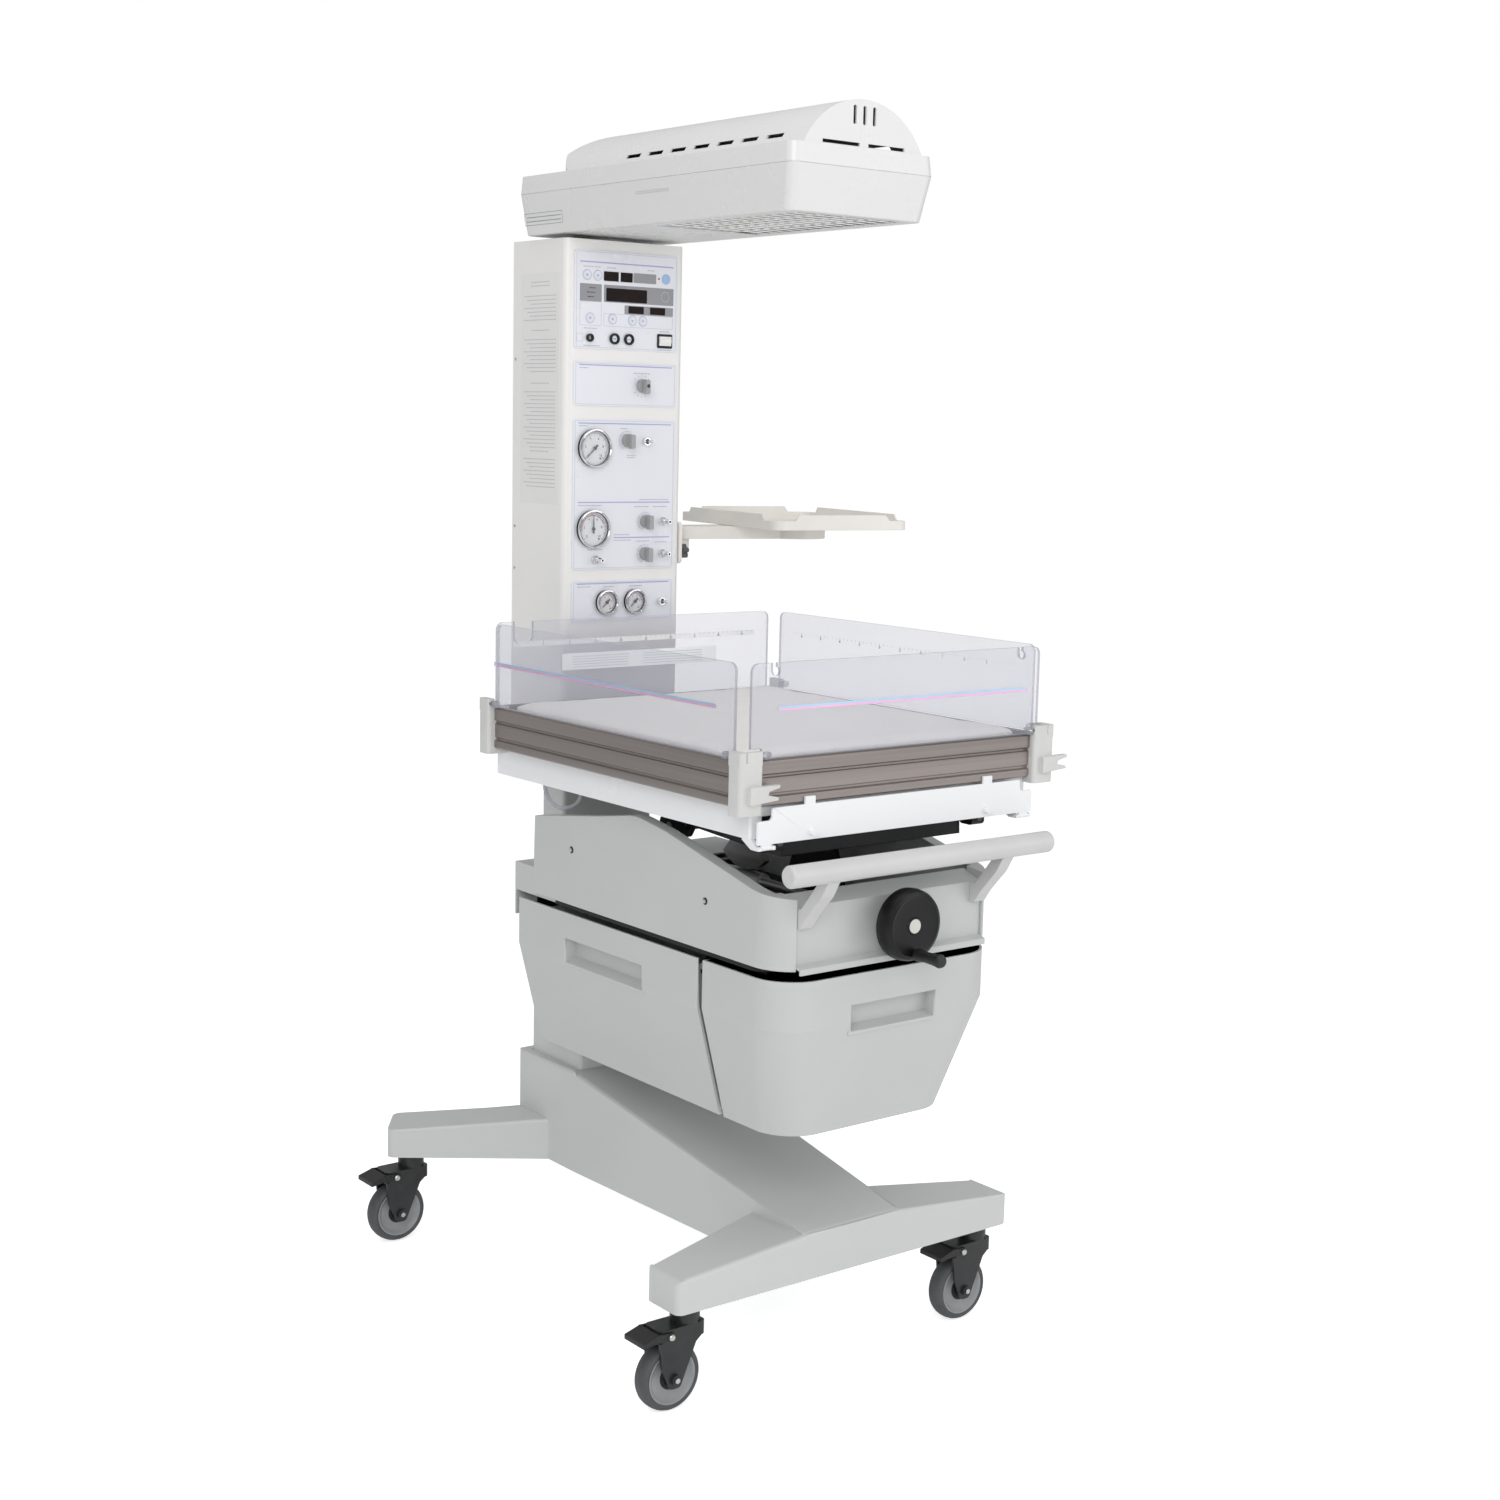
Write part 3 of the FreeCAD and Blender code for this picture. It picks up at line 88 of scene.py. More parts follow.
def scaledNoise(tree, vector, scale, detail, roughness=0.55):
    noise = tree.nodes.new("ShaderNodeTexNoise")
    setInputs(noise, {"Detail": detail, "Roughness": roughness})
    tree.links.new(vector, noise.inputs["Vector"])
    if isinstance(scale, float):
        noise.inputs["Scale"].default_value = scale
    else:
        tree.links.new(scale, noise.inputs["Scale"])
    return noise.outputs["Fac"]


def ranged(tree, value, low, high, toLow=0.0, toHigh=1.0):
    node = tree.nodes.new("ShaderNodeMapRange")
    setInputs(node, {"From Min": low, "From Max": high, "To Min": toLow, "To Max": toHigh})
    tree.links.new(value, node.inputs["Value"])
    return node.outputs["Result"]


# Fine grain, slow mottling and a few thin scuffs, all from object coordinates.
def mouldedSkin():
    group, start, end = newGroup("mouldedSkin", {"Grain": 900.0, "Mottle": 5.0, "Scuff": 14.0},
                                 ("Height", "Mottling", "Scuffs"))
    grain = scaledNoise(group, start.outputs["Vector"], start.outputs["Grain"], 3.0)
    mottle = scaledNoise(group, start.outputs["Vector"], start.outputs["Mottle"], 5.0, 0.6)
    stretch = group.nodes.new("ShaderNodeMapping")
    stretch.inputs["Scale"].default_value = (1.0, 1.0, 7.0)
    stretch.inputs["Rotation"].default_value = (0.5, 0.35, 0.2)
    group.links.new(start.outputs["Vector"], stretch.inputs["Vector"])
    streak = scaledNoise(group, stretch.outputs["Vector"], start.outputs["Scuff"], 8.0, 0.7)
    group.links.new(grain, end.inputs["Height"])
    group.links.new(ranged(group, mottle, 0.35, 0.65), end.inputs["Mottling"])
    group.links.new(ranged(group, streak, 0.62, 0.85), end.inputs["Scuffs"])
    return group


# Long fine lines that run level along extruded or brushed metal.
def drawnStreaks():
    group, start, end = newGroup("drawnStreaks", {"Across": 900.0}, ("Height", "Streaks"))
    mapping = group.nodes.new("ShaderNodeMapping")
    mapping.inputs["Scale"].default_value = (0.012, 0.012, 1.0)
    group.links.new(start.outputs["Vector"], mapping.inputs["Vector"])
    fine = scaledNoise(group, mapping.outputs["Vector"], start.outputs["Across"], 4.0, 0.65)
    wide = scaledNoise(group, mapping.outputs["Vector"], 90.0, 3.0, 0.5)
    group.links.new(fine, end.inputs["Height"])
    group.links.new(ranged(group, wide, 0.3, 0.7), end.inputs["Streaks"])
    return group


# Plain weave under a thin coating: two crossing sets of ridges, with slow stains.
def coatedWeave():
    group, start, end = newGroup("coatedWeave", {"Threads": 260.0}, ("Height", "Stain"))
    heights = []
    for direction in ("X", "Y"):
        wave = group.nodes.new("ShaderNodeTexWave")
        wave.bands_direction = direction
        wave.inputs["Distortion"].default_value = 0.6
        wave.inputs["Detail"].default_value = 1.0
        group.links.new(start.outputs["Vector"], wave.inputs["Vector"])
        group.links.new(start.outputs["Threads"], wave.inputs["Scale"])
        heights.append(wave.outputs["Fac"])
    crossing = group.nodes.new("ShaderNodeMath")
    crossing.operation = "MAXIMUM"
    group.links.new(heights[0], crossing.inputs[0])
    group.links.new(heights[1], crossing.inputs[1])
    stain = scaledNoise(group, start.outputs["Vector"], 7.0, 6.0, 0.6)
    group.links.new(crossing.outputs[0], end.inputs["Height"])
    group.links.new(ranged(group, stain, 0.4, 0.75), end.inputs["Stain"])
    return group


skinGroup = mouldedSkin()
streakGroup = drawnStreaks()
weaveGroup = coatedWeave()


def shade(colour, factor):
    return tuple(min(1.0, c * factor) for c in colour[:3]) + (1.0,)


def newMaterial(name, colour, roughness, metallic=0.0):
    material = bpy.data.materials.new(name)
    material.use_nodes = True
    principled = material.node_tree.nodes["Principled BSDF"]
    setInputs(principled, {"Base Color": (*colour, 1.0), "Roughness": roughness, "Metallic": metallic})
    material.diffuse_color = (*colour, 1.0)
    return material, material.node_tree, principled


def placeGroup(tree, group, values):
    coords = tree.nodes.new("ShaderNodeTexCoord")
    node = tree.nodes.new("ShaderNodeGroup")
    node.node_tree = group
    tree.links.new(coords.outputs["Object"], node.inputs["Vector"])
    setInputs(node, values)
    return node


def mixColours(tree, mask, first, second):
    mix = tree.nodes.new("ShaderNodeMix")
    mix.data_type = "RGBA"
    tree.links.new(mask, mix.inputs["Factor"])
    for socket, colour in ((mix.inputs["A"], first), (mix.inputs["B"], second)):
        if isinstance(colour, tuple):
            socket.default_value = colour
        else:
            tree.links.new(colour, socket)
    return mix.outputs["Result"]


# Joins a finish up: its colour, a roughness that the mask carries between two values, and grain as bump.
def joinFinish(tree, principled, tone, mask, smoothest, roughest, height, depth, strength=0.6):
    tree.links.new(tone, principled.inputs["Base Color"])
    gloss = ranged(tree, mask, 0.0, 1.0, smoothest, roughest)
    tree.links.new(gloss, principled.inputs["Roughness"])
    bump = tree.nodes.new("ShaderNodeBump")
    setInputs(bump, {"Distance": depth, "Strength": strength})
    tree.links.new(height, bump.inputs["Height"])
    tree.links.new(bump.outputs["Normal"], principled.inputs["Normal"])


# Painted or moulded finish: grain in the bump, mottling in colour and gloss, scuffs a little lighter.
def skinFinish(name, colour, roughness, grain=900.0, depth=0.00006, mottle=5.0, change=0.95, scuff=0.2,
               scuffTo=1.12, metallic=0.0, coat=0.0, level=0.5):
    material, tree, principled = newMaterial(name, colour, roughness, metallic)
    skin = placeGroup(tree, skinGroup, {"Grain": grain, "Mottle": mottle})
    mask = skin.outputs["Mottling"]
    tone = mixColours(tree, mask, shade(colour, change), shade(colour, 2 - change))
    if scuff:
        share = ranged(tree, skin.outputs["Scuffs"], 0.0, 1.0, 0.0, scuff)
        tone = mixColours(tree, share, tone, shade(colour, scuffTo))
    setInputs(principled, {"Coat Weight": coat, "Coat Roughness": 0.12, "Specular IOR Level": level})
    joinFinish(tree, principled, tone, mask, max(0.03, roughness - 0.02), roughness + 0.03,
               skin.outputs["Height"], depth)
    return material


def streakFinish(name, colour, roughness, metallic=0.9, across=900.0, depth=0.00004, change=0.82):
    material, tree, principled = newMaterial(name, colour, roughness, metallic)
    streaks = placeGroup(tree, streakGroup, {"Across": across})
    mask = streaks.outputs["Streaks"]
    tone = mixColours(tree, mask, shade(colour, change), shade(colour, 1.12))
    joinFinish(tree, principled, tone, mask, roughness - 0.05, roughness + 0.1, streaks.outputs["Height"],
               depth)
    return material


# See-through plastic: a thin veil of colour, hazier where it has been wiped.
def clearFinish(name, colour, roughness, alpha):
    material, tree, principled = newMaterial(name, colour, roughness)
    skin = placeGroup(tree, skinGroup, {"Grain": 60.0, "Mottle": 9.0, "Scuff": 30.0})
    mask = skin.outputs["Mottling"]
    tone = mixColours(tree, mask, shade(colour, 0.97), shade(colour, 1.03))
    veil = ranged(tree, skin.outputs["Scuffs"], 0.0, 1.0, alpha, min(1.0, alpha + 0.05))
    tree.links.new(veil, principled.inputs["Alpha"])
    joinFinish(tree, principled, tone, mask, roughness, roughness + 0.05, skin.outputs["Height"],
               0.00001, 0.3)
    return material


def clothFinish(name, colour, roughness):
    material, tree, principled = newMaterial(name, colour, roughness)
    weave = placeGroup(tree, weaveGroup, {})
    mask = weave.outputs["Stain"]
    tone = mixColours(tree, mask, shade(colour, 1.02), shade(colour, 0.95))
    setInputs(principled, {"Sheen Weight": 0.25, "Sheen Roughness": 0.4})
    joinFinish(tree, principled, tone, mask, roughness - 0.06, roughness + 0.08, weave.outputs["Height"],
               0.00012, 0.35)
    return material


# Material name, colour, roughness, grain, its depth in metres, mottling, its change, scuffs and their tone,
# metal, coat, specular level.
skins = {
    "base": ("basePaint", (0.60, 0.61, 0.60), 0.34, 700.0, 0.00004, 4.0, 0.985, 0.08),
    "body": ("bodyPlastic", (0.56, 0.57, 0.565), 0.36, 1100.0, 0.00003, 5.0, 0.985, 0.08),
    "bar": ("barPaint", (0.60, 0.60, 0.59), 0.35, 1500.0, 0.00008, 8.0, 0.97, 0.3),
    "column": ("columnPaint", (0.84, 0.83, 0.81), 0.3, 1300.0, 0.000012, 4.0, 0.992, 0.0),
    "film": ("instrumentFilm", (0.78, 0.795, 0.845), 0.28, 2200.0, 0.000006, 9.0, 0.993, 0.0),
    "hood": ("hoodPlastic", (0.735, 0.735, 0.725), 0.27, 1000.0, 0.000012, 5.0, 0.993, 0.0),
    "shelf": ("shelfPlastic", (0.80, 0.775, 0.73), 0.34, 1000.0, 0.00008, 7.0, 0.97, 0.25),
    "white": ("trayPaint", (0.88, 0.89, 0.90), 0.25, 1500.0, 0.000012, 6.0, 0.992, 0.0, 1.12, 0.0, 0.2),
    "post": ("postPlastic", (0.63, 0.63, 0.615), 0.34, 900.0, 0.00008, 20.0, 0.96, 0.35),
    "black": ("blackSteel", (0.007, 0.007, 0.008), 0.45, 800.0, 0.00010, 12.0, 0.8, 0.35, 4.0, 0.0, 0.0, 0.3),
    "fork": ("forkCoat", (0.020, 0.021, 0.022), 0.33, 700.0, 0.00008, 25.0, 0.75, 0.5, 6.0),
    "blackPlastic": ("blackPlastic", (0.006, 0.006, 0.007), 0.34, 1200.0, 0.00006, 12.0, 0.85, 0.3, 3.0,
                     0.0, 0.0, 0.3),
    "pedal": ("pedalPlastic", (0.012, 0.012, 0.012), 0.45, 900.0, 0.00012, 20.0, 0.8, 0.5, 6.0),
    "tyre": ("tyreRubber", (0.075, 0.080, 0.084), 0.62, 600.0, 0.00018, 30.0, 0.85, 0.5, 1.9),
    "core": ("wheelCore", (0.30, 0.305, 0.31), 0.42, 700.0, 0.00010, 25.0, 0.9, 0.4, 1.3),
    "chrome": ("chromePlate", (0.78, 0.78, 0.78), 0.09, 900.0, 0.00001, 20.0, 0.95, 0.2, 1.12, 1.0),
    "element": ("elementSheath", (0.22, 0.20, 0.18), 0.5, 500.0, 0.00012, 40.0, 0.8, 0.2, 1.12, 0.7),
    "display": ("displayWindow", (0.010, 0.005, 0.004), 0.16, 2500.0, 0.00001, 60.0, 0.8, 0.0, 1.12,
                0.0, 0.0, 0.08),
    "dial": ("dialFace", (0.80, 0.81, 0.83), 0.4, 2000.0, 0.00001, 15.0, 0.98, 0.0),
    "knob": ("knobPlastic", (0.36, 0.37, 0.37), 0.38, 1200.0, 0.00008, 25.0, 0.95, 0.25),
    "darkKnob": ("darkKnobPlastic", (0.085, 0.088, 0.09), 0.45, 900.0, 0.00012, 25.0, 0.9, 0.3, 1.8),
    "key": ("keyFilm", (0.74, 0.76, 0.83), 0.24, 1800.0, 0.00002, 20.0, 0.985, 0.0),
    "blueKey": ("blueKeyFilm", (0.30, 0.50, 0.80), 0.24, 1800.0, 0.00002, 20.0, 0.97, 0.0),
    "paper": ("labelPaper", (0.80, 0.795, 0.78), 0.42, 1800.0, 0.00003, 8.0, 0.985, 0.0),
    "paperLine": ("paperLine", (0.55, 0.55, 0.56), 0.45, 1800.0, 0.00001, 8.0, 0.985, 0.0),
    "grip": ("knurledGrip", (0.011, 0.011, 0.012), 0.38, 450.0, 0.00020, 20.0, 0.85, 0.4, 4.0),
    "hub": ("hubCap", (0.66, 0.65, 0.61), 0.35, 1200.0, 0.00006, 30.0, 0.97, 0.2),
    "switch": ("switchPlastic", (0.84, 0.84, 0.82), 0.22, 1500.0, 0.00004, 30.0, 0.98, 0.0),
}
# Printing inks: colour, roughness, grain and its change.
inks = {
    "greyPrint": ((0.28, 0.28, 0.30), 0.32, 2500.0, 0.97),
    "linePrint": ((0.42, 0.45, 0.58), 0.34, 2500.0, 0.97),
    "stripePrint": ((0.40, 0.38, 0.66), 0.32, 2500.0, 0.97),
    "borderPrint": ((0.47, 0.49, 0.56), 0.34, 2500.0, 0.97),
    "blackPrint": ((0.02, 0.02, 0.022), 0.35, 2500.0, 0.9),
    "redPrint": ((0.50, 0.04, 0.05), 0.35, 2500.0, 0.95),
    "bluePrint": ((0.45, 0.66, 0.86), 0.35, 1500.0, 0.97),
    "pinkPrint": ((0.86, 0.50, 0.72), 0.35, 1500.0, 0.97),
    "whitePrint": ((0.86, 0.87, 0.89), 0.35, 1500.0, 0.98),
}
finishes = {key: skinFinish(*look) for key, look in skins.items()}
finishes.update({
    "zinc": streakFinish("zincPlate", (0.62, 0.61, 0.58), 0.28, 1.0, 600.0),
    "steel": streakFinish("turnedSteel", (0.50, 0.50, 0.50), 0.33, 1.0, 800.0),
    "reflector": streakFinish("reflectorSteel", (0.66, 0.65, 0.62), 0.2, 1.0, 700.0),
    "rail": streakFinish("railAnodised", (0.30, 0.265, 0.25), 0.36, 0.75, 1300.0, 0.00005, 0.80),
    "cover": clothFinish("mattressCover", (0.90, 0.88, 0.84), 0.5),
    "clear": clearFinish("clearSheet", (0.55, 0.55, 0.64), 0.06, 0.21),
    "clearEdge": clearFinish("clearSheetEdge", (0.36, 0.37, 0.42), 0.12, 0.62),
    "glass": clearFinish("gaugeGlass", (0.75, 0.76, 0.80), 0.03, 0.08),
    "rulerVeil": clearFinish("rulerVeil", (0.97, 0.97, 0.98), 0.25, 0.6),
    "hoseClear": clearFinish("hoseClear", (0.62, 0.63, 0.70), 0.12, 0.5),
})
for ink, (colour, roughness, grain, change) in inks.items():
    finishes[ink] = skinFinish(ink, colour, roughness, grain, 0.00001, 12.0, change, 0.0)
print("finishes made:", len(finishes))


# Quads of a grid of points stored row by row; a closed side joins its last line to its first.
def gridFaces(rows, columns, closeRows=False, closeColumns=False):
    r = np.arange(rows if closeRows else rows - 1)
    c = np.arange(columns if closeColumns else columns - 1)
    r, c = (a.ravel() for a in np.meshgrid(r, c, indexing="ij"))
    nextR, nextC = (r + 1) % rows, (c + 1) % columns
    return np.stack([r * columns + c, r * columns + nextC, nextR * columns + nextC, nextR * columns + c],
                    axis=1).tolist()


axisTurns = {"X": (1, 2, 0), "Y": (2, 0, 1), "Z": (0, 1, 2)}


# A profile of (radius, level) carried round an axis: the point is the centre, plus the radius times the
# cosine and sine of the turn along the two cross axes, plus the level along the axis.
def turnedShape(axis, centre, profile, steps=48):
    first, second, along = axisTurns[axis]
    profile = np.asarray(profile, float)
    turn = np.linspace(0, 2 * math.pi, steps, endpoint=False)
    points = np.zeros((len(profile), steps, 3))
    points[..., first] = profile[:, :1] * np.cos(turn)
    points[..., second] = profile[:, :1] * np.sin(turn)
    points[..., along] = profile[:, 1:2]
    return (points + np.asarray(centre, float)).reshape(-1, 3), gridFaces(len(profile), steps, False, True)


planes = {"front": ((1, 0, 0), (0, 0, 1)), "left": ((0, -1, 0), (0, 0, 1)),
          "right": ((0, 1, 0), (0, 0, 1)), "back": ((-1, 0, 0), (0, 0, 1)), "top": ((1, 0, 0), (0, 1, 0))}


# A thin raised shape on a plane: its outline, or a pair of outline and hole, at two heights along the plane's
# outward normal. Outlines are given in the frame's own axes.
def flatShape(plane, level, outline, depth=0.2):
    along, up = (np.array(a, float) for a in planes[plane])
    normal = np.cross(along, up)
    loops = outline if isinstance(outline, tuple) else (outline,)
    points = np.concatenate([loop[:, :1] * np.abs(along) + loop[:, 1:2] * up + normal * height
                             for loop in loops for height in (0.0, depth)])
    points[:, np.argmax(np.abs(normal))] += level
    count = len(loops[0])
    around = np.arange(count)
    ahead = (around + 1) % count
    bands = ((0, 1),) if len(loops) == 1 else ((0, 1), (2, 3), (1, 3), (0, 2))
    faces = [around[::-1].tolist(), (around + count).tolist()] if len(loops) == 1 else []
    for a, b in bands:
        faces += np.stack([around + a * count, ahead + a * count, ahead + b * count, around + b * count],
                          axis=1).tolist()
    return points, faces


def onCircle(u, v, radius, turn):
    return np.stack([u + radius * np.cos(turn), v + radius * np.sin(turn)], axis=1)


def circle(u, v, radius, steps=40):
    return onCircle(u, v, radius, np.linspace(0, 2 * math.pi, steps, endpoint=False))


def ring(u, v, outside, inside, steps=40):
    return circle(u, v, outside, steps), circle(u, v, inside, steps)


def bar(u0, u1, v0, v1):
    return np.array([(u0, v0), (u1, v0), (u1, v1), (u0, v1)], float)


# Rectangle whose four corners are quarter circles.
def roundedBar(u0, u1, v0, v1, radius, steps=6):
    turn = np.linspace(0, math.pi / 2, steps)
    u0, u1, v0, v1 = u0 + radius, u1 - radius, v0 + radius, v1 - radius
    corners = [(u1, v0, -math.pi / 2), (u1, v1, 0), (u0, v1, math.pi / 2), (u0, v0, math.pi)]
    return np.concatenate([onCircle(u, v, radius, turn + first) for u, v, first in corners])


# Part of a ring between two angles, out along the larger circle and back along the smaller one.
def arcBand(u, v, inside, outside, startDeg, endDeg, steps=24):
    turn = np.radians(np.linspace(startDeg, endDeg, steps))
    return np.concatenate([onCircle(u, v, outside, turn), onCircle(u, v, inside, turn)[::-1]])


# Short bar that points away from a centre.
def tick(u, v, inside, outside, angleDeg, width):
    turn = math.radians(angleDeg)
    away = np.array([math.cos(turn), math.sin(turn)])
    across = np.array([-away[1], away[0]]) * width / 2
    start, end = np.array([u, v]) + away * inside, np.array([u, v]) + away * outside
    return np.array([start - across, end - across, end + across, start + across])


def joined(shapes):
    points, faces, count = [], [], 0
    for p, f in shapes:
        points.append(p)
        faces += [[i + count for i in face] for face in f]
        count += len(p)
    return np.concatenate(points), faces


def shadeByAngle(mesh, degrees):
    mesh.shade_smooth()
    mesh.set_sharp_from_angle(angle=math.radians(degrees))


# Changes a mesh as a bmesh, its doubles merged first.
def reworked(mesh, change=None, merge=1e-5):
    work = bmesh.new()
    work.from_mesh(mesh)
    if merge:
        bmesh.ops.remove_doubles(work, verts=work.verts, dist=merge)
    if change:
        change(work)
    work.to_mesh(mesh)
    work.free()


# A closed mesh from millimetre points, its doubles merged and its faces turned outwards, on a CAD body.
def newPiece(name, shape, finish, body, slot, sharp=35, bevel=0.0):
    points, faces = shape
    mesh = bpy.data.meshes.new(name)
    mesh.from_pydata(toFrame(points).tolist(), [], faces)
    reworked(mesh, lambda work: bmesh.ops.recalc_face_normals(work, faces=work.faces), 1e-6)
    shadeByAngle(mesh, sharp)
    piece = linked(name, mesh)
    mesh.materials.append(finishes[finish])
    if bevel:
        addBevel(piece, bevel, 2, 30)
    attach(piece, body)
    return piece


# One piece from thin shapes that lie on one plane.
def flatPiece(name, plane, level, outlines, finish, body, slot, depth=0.2):
    newPiece(name, joined([flatShape(plane, level, o, depth) for o in outlines]), finish, body, slot)


# One piece from the same profile turned about several centres.
def turnedPiece(name, centres, profile, steps, finish, body, slot, sharp=35):
    newPiece(name, joined([turnedShape("Y", c, profile, steps) for c in centres]), finish, body, slot, sharp)


def linked(name, data):
    item = bpy.data.objects.new(name, data)
    scene.collection.objects.link(item)
    return item


def addBevel(piece, width, segments, degrees):
    bevel = piece.modifiers.new("edgeRounding", "BEVEL")
    bevel.width = width
    bevel.segments = segments
    bevel.limit_method = "ANGLE"
    bevel.angle_limit = math.radians(degrees)
    bevel.use_clamp_overlap = True
    bevel.harden_normals = True
    return bevel


def bodyOf(node):
    for body, members in frame["record"]["behaviour"]["bodies"].items():
        if node in members:
            return body
    raise KeyError(node)


# Groups of faces that hang together.
def looseParts(work):
    left, groups = set(work.faces), []
    while left:
        stack, group = [left.pop()], []
        while stack:
            face = stack.pop()
            group.append(face)
            for edge in face.edges:
                for other in edge.link_faces:
                    if other in left:
                        left.remove(other)
                        stack.append(other)
        groups.append(group)
    return groups


# Weights the outer edges that are long enough, between faces that are broad enough, for a full rounding.
def markBroadEdges(mesh, width, degrees, above):
    def mark(work):
        layers = work.edges.layers.float
        layer = layers.get("bevel_weight_edge") or layers.new("bevel_weight_edge")
        for edge in work.edges:
            if len(edge.link_faces) != 2:
                continue
            length = edge.calc_length()
            breadth = min(face.calc_area() for face in edge.link_faces) / max(length, 1e-6)
            turn = edge.calc_face_angle_signed(0.0)
            high = min(v.co.z for v in edge.verts) > above
            if high and turn > math.radians(degrees) and length > 2.5 * width and breadth > 2.2 * width:
                edge[layer] = 1.0

    reworked(mesh, mark, None)


# A copy of a CAD node with its doubles merged, flat faces joined and its edges rounded. keep picks some of
# its separate solids by the millimetre box that each fills.
def softCopy(node, name, finish, width=0.0015, segments=3, degrees=30, keep=None, broadAbove=None):
    def simplify(work):
        if keep:
            gone = []
            for group in looseParts(work):
                corners = np.array([v.co for face in group for v in face.verts])
                if not keep(fromFrame(corners.min(0)), fromFrame(corners.max(0))):
                    gone += group
            bmesh.ops.delete(work, geom=gone, context="FACES")
        bmesh.ops.dissolve_limit(work, angle_limit=math.radians(0.5), verts=work.verts, edges=work.edges)

    mesh = nodes[node].data.copy()
    mesh.name = name
    reworked(mesh, simplify)
    mesh.materials.clear()
    mesh.materials.append(finishes[finish])
    dropNormals(mesh)
    piece = linked(name, mesh)
    shadeByAngle(mesh, degrees)
    if width:
        bevel = addBevel(piece, width, segments, degrees)
        if broadAbove is not None:
            markBroadEdges(mesh, width, degrees, broadAbove)
            bevel.limit_method = "WEIGHT"
            bevel.use_clamp_overlap = False
    weighted = piece.modifiers.new("flatFaces", "WEIGHTED_NORMAL")      # large flat faces stay flat
    weighted.mode = "FACE_AREA"
    weighted.weight = 100
    weighted.keep_sharp = True
    standIn(piece, node)
    return piece


# The CAD's own normals no longer fit a mesh that has been changed.
def dropNormals(mesh):
    if "custom_normal" in mesh.attributes:
        mesh.attributes.remove(mesh.attributes["custom_normal"])


def standIn(piece, node):
    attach(piece, bodyOf(node))
    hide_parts(node)


# A CAD node that stays as it is, in a better finish.
def keepNode(node, finish):
    mesh = nodes[node].data
    mesh.materials.clear()
    mesh.materials.append(finishes[finish])


viewpoint = {
    "place": (-2060.15, -2983.30, 1403.61),
    "right": (0.78904, -0.61393, 0.02252),
    "up": (0.07354, 0.13078, 0.98868),
    "ahead": (0.60992, 0.77845, -0.14834),
    "lens": 52.254,
    "sensor": 36.0,
}


def makeCamera():
    data = bpy.data.cameras.new("camera")
    data.sensor_width = viewpoint["sensor"]
    data.lens = viewpoint["lens"]
    data.clip_start, data.clip_end = 0.1, 60.0
    camera = linked("camera", data)
    right, up, ahead = (Vector(viewpoint[k]).normalized() for k in ("right", "up", "ahead"))
    turn = Matrix((right, up, -ahead)).transposed().to_4x4()
    camera.matrix_world = Matrix.Translation(Vector(toFrame(viewpoint["place"]))) @ turn
    scene.camera = camera


makeCamera()

hoseLook = {
    "route": [(-176, -40, 835), (-176, -40, 813), (-177, -56, 795), (-179, -83, 787),
              (-179, -110, 789), (-177, -135, 798), (-176, -151, 814), (-176, -151, 835)],
    "diameter": 0.007,
    "length": 0.1685,
}


def makeHose():
    curve = bpy.data.curves.new("drainHose", "CURVE")
    curve.dimensions = "3D"
    spline = curve.splines.new("NURBS")
    spline.points.add(len(hoseLook["route"]) - 1)
    for point, place in zip(spline.points, toFrame(hoseLook["route"])):
        point.co = (*place, 1.0)
    spline.order_u = 3
    spline.use_endpoint_u = True
    curve.resolution_u = 16
    curve.bevel_depth = hoseLook["diameter"] / 2
    curve.bevel_resolution = 4
    curve.use_fill_caps = True
    curve.materials.append(finishes["hoseClear"])
    hose = linked("drainHose", curve)
    standIn(hose, "hose")


makeHose()
print("camera and hose made")

